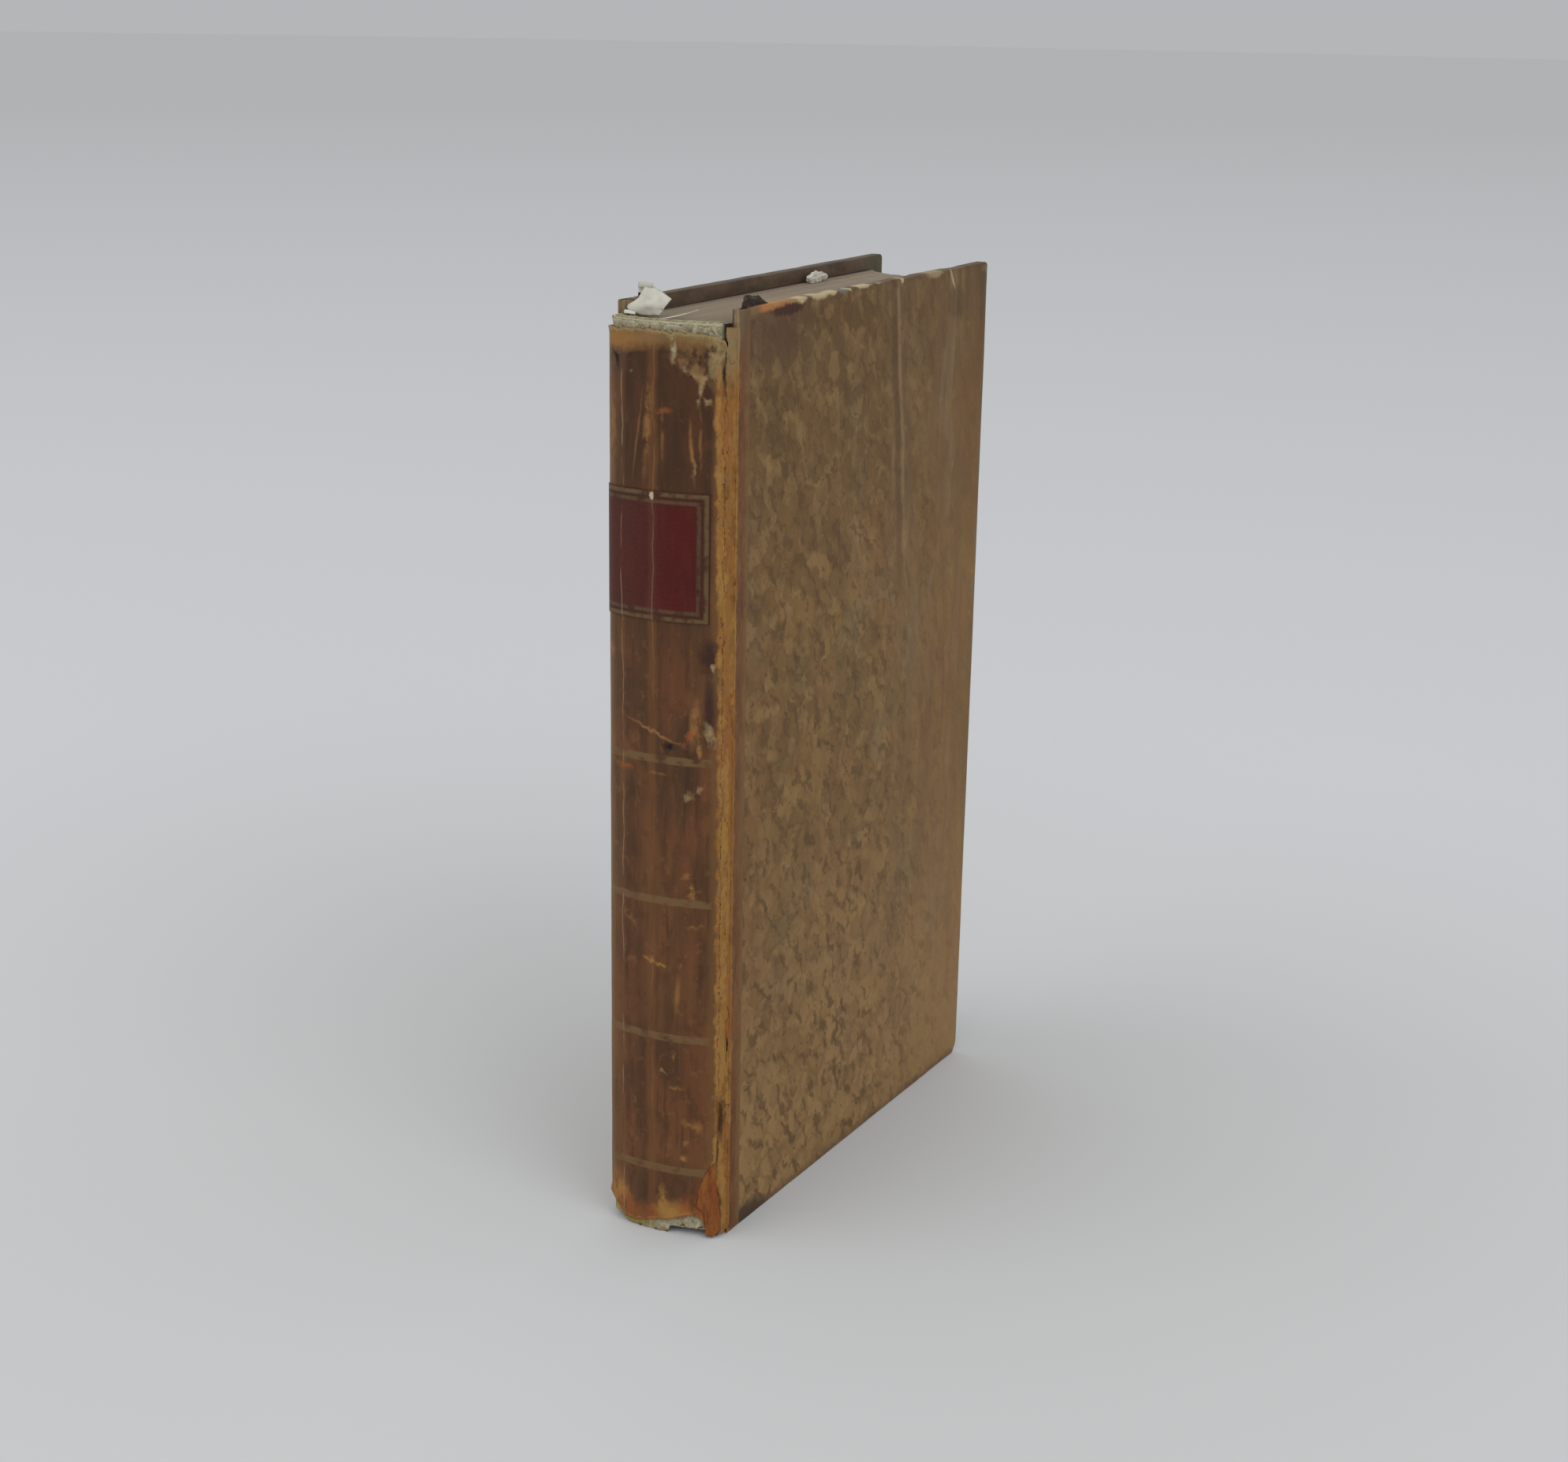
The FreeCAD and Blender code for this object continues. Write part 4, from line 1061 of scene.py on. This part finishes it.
for side, cover in ((1, "front_cover"), (-1, "back_cover")):
    bm = bmesh.new()
    bmesh.ops.create_grid(bm, x_segments=STRIP_ACROSS, y_segments=STRIP_UP, size=0.5)
    torn_away = []
    for face in bm.faces:
        middle = face.calc_center_median()
        z = STRIP_FOOT_Z + (STRIP_HEAD_Z - STRIP_FOOT_Z) * (middle.y + 0.5)
        for low, high, begin, end in SLITS:
            taper = 1 - abs(2 * (z - low) / (high - low) - 1)
            centre = (begin + end) / 2 + 0.05 * rough(z, 0, 2.0, side)
            if low < z < high and abs(middle.x + 0.5 - centre) < (end - begin) * (0.25 + 0.5 * taper):
                torn_away.append(face)
                break
    bmesh.ops.delete(bm, geom=torn_away, context="FACES")
    for vert in bm.verts:
        z = STRIP_FOOT_Z + (STRIP_HEAD_Z - STRIP_FOOT_Z) * (vert.co.y + 0.5)
        wander = rough(z, 0, 5.0, side) + 0.6 * rough(z, 5, 1.4, side)
        x, y = strip_point(vert.co.x + 0.5, wander)
        x += 0.05 * rough(z, 40 * vert.co.x, 1.8, 4.0)
        vert.co = at(x, y, z)
    if side < 0:
        mirror_to_back(bm)
    smooth_faces(bm, 60)
    bmesh.ops.solidify(bm, geom=bm.faces[:], thickness=-STRIP_THICK * MM)
    strip = settle(bm, cover.replace("cover", "joint_strip"), flesh_calf, None)
    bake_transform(strip)

# %% [markdown]
# ## Worn covers
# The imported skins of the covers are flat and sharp. A real old board is a little wavy, its edges
# are rounded by shelves, and its head edge is chipped. The skins are copied, sliced into small
# cells, and each corner wanders by a tenth of a millimetre or so. The leather and the paper share
# one wander, so they stay together.

# %% Skins of the covers
CELL_Y = 3.1
CELL_Z = 3.9
EDGE_ROUND = 0.32
SHARP_DEG = 50
front_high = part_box("front_side_paper")[1]
# How far in from the head and from the fore edge a board is worn, and its deepest dent.
HEAD_WORN = 1.0
FORE_WORN = 1.5
DENT_MAX = 0.28
# Each dent in the head edge: its middle from the joint, its half length and its depth.
HEAD_DENTS = [(4.0, 3.0, 0.25), (36.0, 2.0, 0.25), (45.5, 2.5, 0.3), (62.0, 3.0, 0.22), (76.0, 3.5, 0.25),
              (101.0, 6.0, 0.18)]


def wander(vert, seed, chipped):
    """Moves one corner of a cover's skin a little, and wears the head and fore edges."""
    y = (vert.co.y - JOINT_Y) / MM
    z = vert.co.z / MM
    vert.co.x += MM * (0.10 * rough(y, z / 2.5, 11.0, seed) + 0.05 * rough(y, z / 3, 3.5, seed + 1))
    at_head = max(0.0, 1 - (front_high.z / MM - z) / HEAD_WORN)
    at_fore = max(0.0, 1 - (front_high.y - vert.co.y) / MM / FORE_WORN)
    dent = 0.10 * max(0.0, rough(y, 0, 1.7, seed + 2)) + 0.08 * max(0.0, rough(y, 3, 6.0, seed))
    for middle, half, deep in HEAD_DENTS:
        dent += chipped * deep * max(0.0, 1 - ((y - middle) / half) ** 2)
    vert.co.z -= MM * min(dent, DENT_MAX) * at_head
    vert.co.y -= MM * (0.12 + 0.12 * rough(z, 0, 6.0, seed + 3)) * at_fore


def worn_skin(part, seed, chipped):
    """One skin of the front cover, sliced, rounded at its outer edges and worn."""
    bm = merged_copy("front_" + part)
    low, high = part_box("front_" + part)
    slice_along(bm, 1, [low.y + CELL_Y * MM * i for i in range(1, int((high.y - low.y) / MM / CELL_Y) + 1)])
    slice_along(bm, 2, [low.z + CELL_Z * MM * i for i in range(1, int((high.z - low.z) / MM / CELL_Z) + 1)])
    outer = []
    for edge in bm.edges:
        if not edge.is_manifold or edge.calc_face_angle() < math.radians(SHARP_DEG):
            continue
        ends = [v.co for v in edge.verts]
        at_face = all(min(abs(c.x - low.x), abs(c.x - high.x)) < 1e-5 for c in ends)
        at_rim = all(c.z < low.z + 1e-5 or c.z > high.z - 1e-5 or c.y > front_high.y - 2.5 * MM for c in ends)
        if at_face and at_rim:
            outer.append(edge)
    bmesh.ops.bevel(bm, geom=outer, offset=EDGE_ROUND * MM, segments=2, profile=0.5, affect="EDGES",
                    material=-1)
    for vert in bm.verts:
        wander(vert, seed, chipped)
    return bm


SKINS = [
    ("side_paper", {"front": front_paper, "back": back_paper}),
    ("joint_leather", {"front": edge_calf, "back": edge_calf}),
]
back_joint = next(j for j in frame["joints"] if j["child"] == "back_cover")
for part, finishes in SKINS:
    for side, seed, chipped in (("front", 2.0, 1.0), ("back", 40.0, 0.2)):
        bm = worn_skin(part, seed, chipped)
        if side == "back":
            mirror_to_back(bm)
            hinge = Vector((back_joint["pos_m"][0], back_joint["pos_m"][1], 0))
            bmesh.ops.rotate(bm, cent=hinge, matrix=Matrix.Rotation(BACK_SPLAY, 3, "Z"), verts=bm.verts)
        smooth_faces(bm, 40)
        settle(bm, "worn_" + side + "_" + part, finishes[side], side + "_cover", [side + "_" + part])

# %% [markdown]
# ## Leaves with gatherings
# The leaves were folded and sewn in gatherings of about a millimetre. Their folds never come
# quite level, so the head, the tail and the hollow fore edge are faintly ribbed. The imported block
# is sliced beside each fold, and the corners at the fold sink a little.

# %% Leaves
GATHERING_MIN = 0.75
GATHERING_MAX = 1.35
FOLD_HALF = 0.07
FOLD_DEEP = 0.22
# How far the first fold lies from the outer leaf, and where, back from the joint, the fore edge starts.
FIRST_FOLD = 1.6
FORE_EDGE_FROM = 95
random.seed(11)
bm = merged_copy("text_block")
folds = []
x = block_low.x + FIRST_FOLD * MM
while x < block_high.x - FIRST_FOLD * MM:
    folds.append(x)
    x += random.uniform(GATHERING_MIN, GATHERING_MAX) * MM
for fold in folds:
    slice_along(bm, 0, [fold - FOLD_HALF * MM, fold, fold + FOLD_HALF * MM])
fore_y = JOINT_Y + FORE_EDGE_FROM * MM
for vert in bm.verts:
    nearest = min(folds, key=lambda fold: abs(fold - vert.co.x))
    rank = folds.index(nearest)
    step = 0.10 * rough(rank, 0, 1.7, 3.0)
    deep = MM * (step + (FOLD_DEEP if abs(nearest - vert.co.x) < 1e-6 else 0.0))
    if vert.co.z > block_high.z - 1e-5:
        vert.co.z -= deep
    if vert.co.z < block_low.z + 1e-5:
        vert.co.z += deep
    if vert.co.y > fore_y:
        vert.co.y -= deep
settle(bm, "sewn_leaves", leaves, "root", ["text_block"])

# %% [markdown]
# ## Torn bits at the head
# A corner of a leaf stands up white, a sliver of paper lifts beside it and a crumpled scrap lies
# by the back cover. The corner, its curl, the leaf behind it and the sliver are each a small grid,
# bent by moving its corners, with a thin paper's thickness. The scrap is a sphere crumpled by noise.

# %% Torn bits
PAPER_THICK = 0.12


def bent_sheet(name, steps_u, steps_v, shape, material, thick, body, stands_for=()):
    """A thin sheet: shape gives a point in millimetres for shares u and v from 0 to 1."""
    bm = bmesh.new()
    bmesh.ops.create_grid(bm, x_segments=steps_u, y_segments=steps_v, size=0.5)
    for vert in bm.verts:
        vert.co = at(*shape(vert.co.x + 0.5, vert.co.y + 0.5))
    smooth_faces(bm, 60)
    bmesh.ops.solidify(bm, geom=bm.faces[:], thickness=thick * MM)
    return settle(bm, name, material, body, stands_for)


def flap_shape(u, v):
    """The upright corner: a five-sided scrap, hollow in the middle, leaning a little back."""
    left = Vector((-11.2, 202.3)).lerp(Vector((-8.1, 208.7)), v)
    left.x -= 1.9 * max(0.0, 1 - abs(v - 0.25) / 0.25)
    right = Vector((-4.3, 202.4)).lerp(Vector((-2.2, 205.8)), v)
    point = left.lerp(right, u)
    point.y += 0.35 * math.sin(math.pi * u) * (v - 0.5)
    hollow = 0.8 * math.sin(math.pi * u) * math.sin(math.pi * v)
    depth = 0.5 + 1.3 * v * v - hollow + 0.3 * rough(4 * u, 4 * v, 1.0)
    return point.x, depth, point.y


def curl_shape(u, v):
    """A narrow curl at the foot of the flap."""
    turn = math.pi * (0.15 + 1.0 * v)
    radius = 1.0 - 0.3 * u
    return -11.6 + 2.6 * u - 0.9 * v, -0.6 - radius * math.cos(turn), 202.2 + radius * math.sin(turn)


def backing_shape(u, v):
    """The grey leaf behind the flap, rolled over at its top."""
    top = max(0.0, math.pi * (v - 0.35))
    height = 202.2 + 5.4 * min(v / 0.35, 1.0) + 0.8 * (1 - math.cos(top))
    return -10.6 + 3.6 * u + 0.8 * v, 2.0 - 0.7 * math.sin(top), height


def sliver_shape(u, v):
    """A tapered sliver, rising from the head towards the front cover."""
    width = 1.7 * math.sin(math.pi * min(1.0, 0.12 + 0.88 * u)) ** 0.7
    rise = 0.15 + 1.6 * u * u + 0.35 * v * math.sin(math.pi * u)
    return -3.4 + 5.6 * u + 0.4 * width * (v - 0.5), -0.4 + 5.4 * u + width * (v - 0.5), 201.9 + rise


TORN_BITS = [
    ("torn_white_flap", 14, 14, flap_shape, ["torn_paper_flap"]),
    ("torn_curl", 6, 14, curl_shape, []),
    ("torn_backing", 6, 14, backing_shape, []),
    ("thin_sliver", 16, 4, sliver_shape, ["lifted_sliver"]),
]
for name, steps_u, steps_v, shape, stands_for in TORN_BITS:
    bent_sheet(name, steps_u, steps_v, shape, torn_rag, PAPER_THICK, "root", stands_for)

# %% Crumpled scrap
SCRAP_MIDDLE = (-10.9, 78.0, 202.9)
# Just above the head of the leaves, where the scrap is pressed flat.
LEAVES_TOP = 201.85
bm = bmesh.new()
bmesh.ops.create_icosphere(bm, subdivisions=4, radius=1.0)
for vert in bm.verts:
    p = vert.co.copy()
    crumple = 1 + 0.55 * noise.noise(2.1 * p) + 0.35 * noise.noise(5.0 * p) + 0.18 * noise.noise(11.0 * p)
    taper = 1 - 0.45 * max(0.0, p.y)
    x = 0.75 * p.x * crumple
    y = (4.6 * p.y + 0.4 * p.x) * (1 + 0.2 * noise.noise(3 * p))
    z = 1.25 * p.z * crumple * taper
    vert.co = at(SCRAP_MIDDLE[0] + x, SCRAP_MIDDLE[1] + y, max(SCRAP_MIDDLE[2] + z, LEAVES_TOP))
settle(bm, "crumpled_scrap", torn_rag, "root", ["paper_scrap"])

# %% [markdown]
# ## Flake and lining
# A flake of calf curls up from the head edge of the front board. The lining shows ragged above
# the leather at the head and below it at the foot, where a loose flap of calf hangs.

# %% Flake, lining and foot flap
# The flake's crest: shares along the flake, and its height there as a share of its usual height.
FLAKE_CREST = [(0.0, 0.0), (0.15, 0.55), (0.35, 0.95), (0.48, 1.15), (0.6, 0.9), (0.75, 1.0), (0.9, 0.45),
               (1.0, 0.0)]
LINING_INSET = LEATHER_THICK + 0.12
SHREDS_FROM = 199.0
FOOT_LINING_TO = 8.0


def flake_shape(u, v):
    """A leaf of leather arched along the board's edge, its ragged crest curled over the leaves."""
    arch = along(FLAKE_CREST, u) * (1 + 0.3 * rough(9 * u, 0, 1.0, 2.0))
    curl = 2.4 * v
    rise = 2.0 * arch * math.sin(curl) / math.sin(1.5) + 0.2 * rough(6 * u, 2 * v, 1.0, 2.0)
    return 13.4 - 1.1 * arch * (1 - math.cos(curl)), 2.6 + 10.8 * u + 0.9 * v, 204.9 + max(0.0, rise)


def shred_shape(u, v):
    """The torn lining above the leather, in ragged points."""
    x, y, facing_x, facing_y = spine_point(0.05 + 0.93 * u)
    ragged_top = 202.15 - 0.5 * u + 0.18 * rough(x, 0, 0.7, 8.0) + 0.12 * rough(x, 0, 2.0, 9.0)
    z = SHREDS_FROM + (ragged_top - SHREDS_FROM) * v
    deep = LINING_INSET - 0.45 * v * (0.7 + rough(x, z, 1.4, 3.0))
    return x - deep * facing_x, y - deep * facing_y, z


# The lining's lower edge at the foot: places across the spine, and how far each is from the floor.
LINING_FOOT = [(-12.5, 5.6), (-10.8, 3.4), (-8.6, 1.0), (-7.0, 0.35), (-4.0, 0.05), (2.8, 0.05), (3.3, 1.7),
               (6.0, 2.2), (9.0, 1.8), (11.0, 2.4)]


def foot_lining_shape(u, v):
    """The lining below the torn leather: down to the floor on the left, and short on the right."""
    left, right = LINING_FOOT[0][0], LINING_FOOT[-1][0]
    x, y, facing_x, facing_y = spine_point(share_at(left + (right - left) * u))
    deep = LINING_INSET - 0.5 * (1 - v) * (0.8 + rough(x, 3 * v, 1.4, 3.0))
    low = along(LINING_FOOT, x) + 0.25 * abs(rough(x, 0, 0.6, 4.0))
    return x - deep * facing_x, y - deep * facing_y, low + (FOOT_LINING_TO - low) * v


# The torn flap of calf at the foot: heights, and how far across the spine its edges lie there.
FLAP_LEFT = [(1.5, 11.4), (6.4, 10.9), (7.7, 9.5), (12.3, 9.8), (16.3, 11.4), (18.3, 12.7)]
FLAP_RIGHT = [(1.5, 13.0), (2.2, 13.6), (6.2, 13.6), (18.3, 12.8)]
FLAP_LOW = 1.4
FLAP_HIGH = 18.3


def foot_flap_shape(u, v):
    """Orange calf hanging from a narrow top to a wide torn foot, a little proud of the spine."""
    z = FLAP_LOW + (FLAP_HIGH - FLAP_LOW) * v
    left = along(FLAP_LEFT, z) + 0.2 * rough(z, 0, 1.2, 2.0)
    right = along(FLAP_RIGHT, z) + 0.1 * rough(z, 5, 1.2, 2.0)
    x, y, facing_x, facing_y = spine_point(share_at(left + (right - left) * u))
    proud = 0.14 + 0.35 * (1 - v) ** 3 + 0.12 * rough(3 * u, 6 * v, 1.0, 6.0)
    foot = 0.8 * (1 - v) ** 6 * (rough(u, 0, 0.25, 2.0) - 0.6)
    return x + proud * facing_x, y + proud * facing_y, z + foot


bent_sheet("curled_flake", 24, 8, flake_shape, flake_calf, 0.3, "front_cover",
           ["front_lifted_flake"])
bent_sheet("lining_shreds", 120, 6, shred_shape, lining_paper, 0.15, "root")
bent_sheet("foot_lining", 90, 8, foot_lining_shape, lining_paper, 0.15, "root")
bent_sheet("foot_flap", 12, 40, foot_flap_shape, foot_calf, 0.25, "root")

# %% [markdown]
# ## Floor and light
# The book stands in a plain studio. Two large soft boxes in front, left and right, give the two
# soft shadows behind it, and a pale sky fills the rest. The light on the book is close to even,
# so that a colour renders about as it is written, and the pale look comes from the floor itself,
# whose colour also holds painted light: a paler ring around the book and a darker floor far off.

# %% Floor
FLOOR_RADIUS = 14.0
bm = bmesh.new()
bmesh.ops.create_circle(bm, cap_ends=True, radius=FLOOR_RADIUS, segments=96)
floor_mesh = bpy.data.meshes.new("floor")
bm.to_mesh(floor_mesh)
bm.free()
floor = bpy.data.objects.new("floor", floor_mesh)
bpy.context.scene.collection.objects.link(floor)
paper_floor, tree, shader, place = start("matt_paper_floor", 1.0, 0.0)
metres = add(tree, "VectorMath", {0: place}, out="Value", operation="LENGTH")
# Painted light: the floor's own colour is the pale grey near the book. These rings paint light on it: paler
# from 120 to 450 mm out, as a pool of light around the book, and darker from 700 mm to 6 m, as the light
# falls off towards the horizon.
painted_light_ring = add(tree, "MapRange", {"Value": metres, "From Min": 120.0, "From Max": 450.0},
                interpolation_type="SMOOTHSTEP")
painted_falloff_ring = add(tree, "MapRange", {"Value": metres, "From Min": 700.0, "From Max": 6000.0},
               interpolation_type="SMOOTHSTEP")
floor_pale_and_painted_light = layered(tree, "#c3c5c6", [(painted_light_ring, "#c8cacd"), (painted_falloff_ring, "#c0c2c4")])
tree.links.new(floor_pale_and_painted_light, shader.inputs["Base Color"])
floor.data.materials.append(paper_floor)

# %% Light
SKY = 0.82
world = bpy.data.worlds.new("studio")
bpy.context.scene.world = world
world.use_nodes = True
sky = world.node_tree
background = sky.nodes["Background"]
seen = add(sky, "LightPath", {}, out="Is Camera Ray")
background.inputs["Strength"].default_value = 1.0
shade = add(sky, "Mix", {0: seen, 6: (SKY, SKY, SKY, 1.0), 7: linear("#b5b6b8")}, out=2, data_type="RGBA")
sky.links.new(shade, background.inputs["Color"])

SOFT_BOXES = [
    ("left_soft_box", (-1.1, -1.3, 1.3), 2.2, 10.0),
    ("right_soft_box", (1.5, -0.7, 1.2), 1.6, 9.5),
]
for name, place, size, power in SOFT_BOXES:
    lamp = bpy.data.lights.new(name, "AREA")
    lamp.shape = "DISK"
    lamp.size = size
    lamp.energy = power
    soft_box = bpy.data.objects.new(name, lamp)
    bpy.context.scene.collection.objects.link(soft_box)
    aim = Vector((0.0, 0.0, 0.1)) - Vector(place)
    soft_box.matrix_world = Matrix.Translation(place) @ aim.to_track_quat("-Z", "Y").to_matrix().to_4x4()
print("soft boxes", len(SOFT_BOXES))
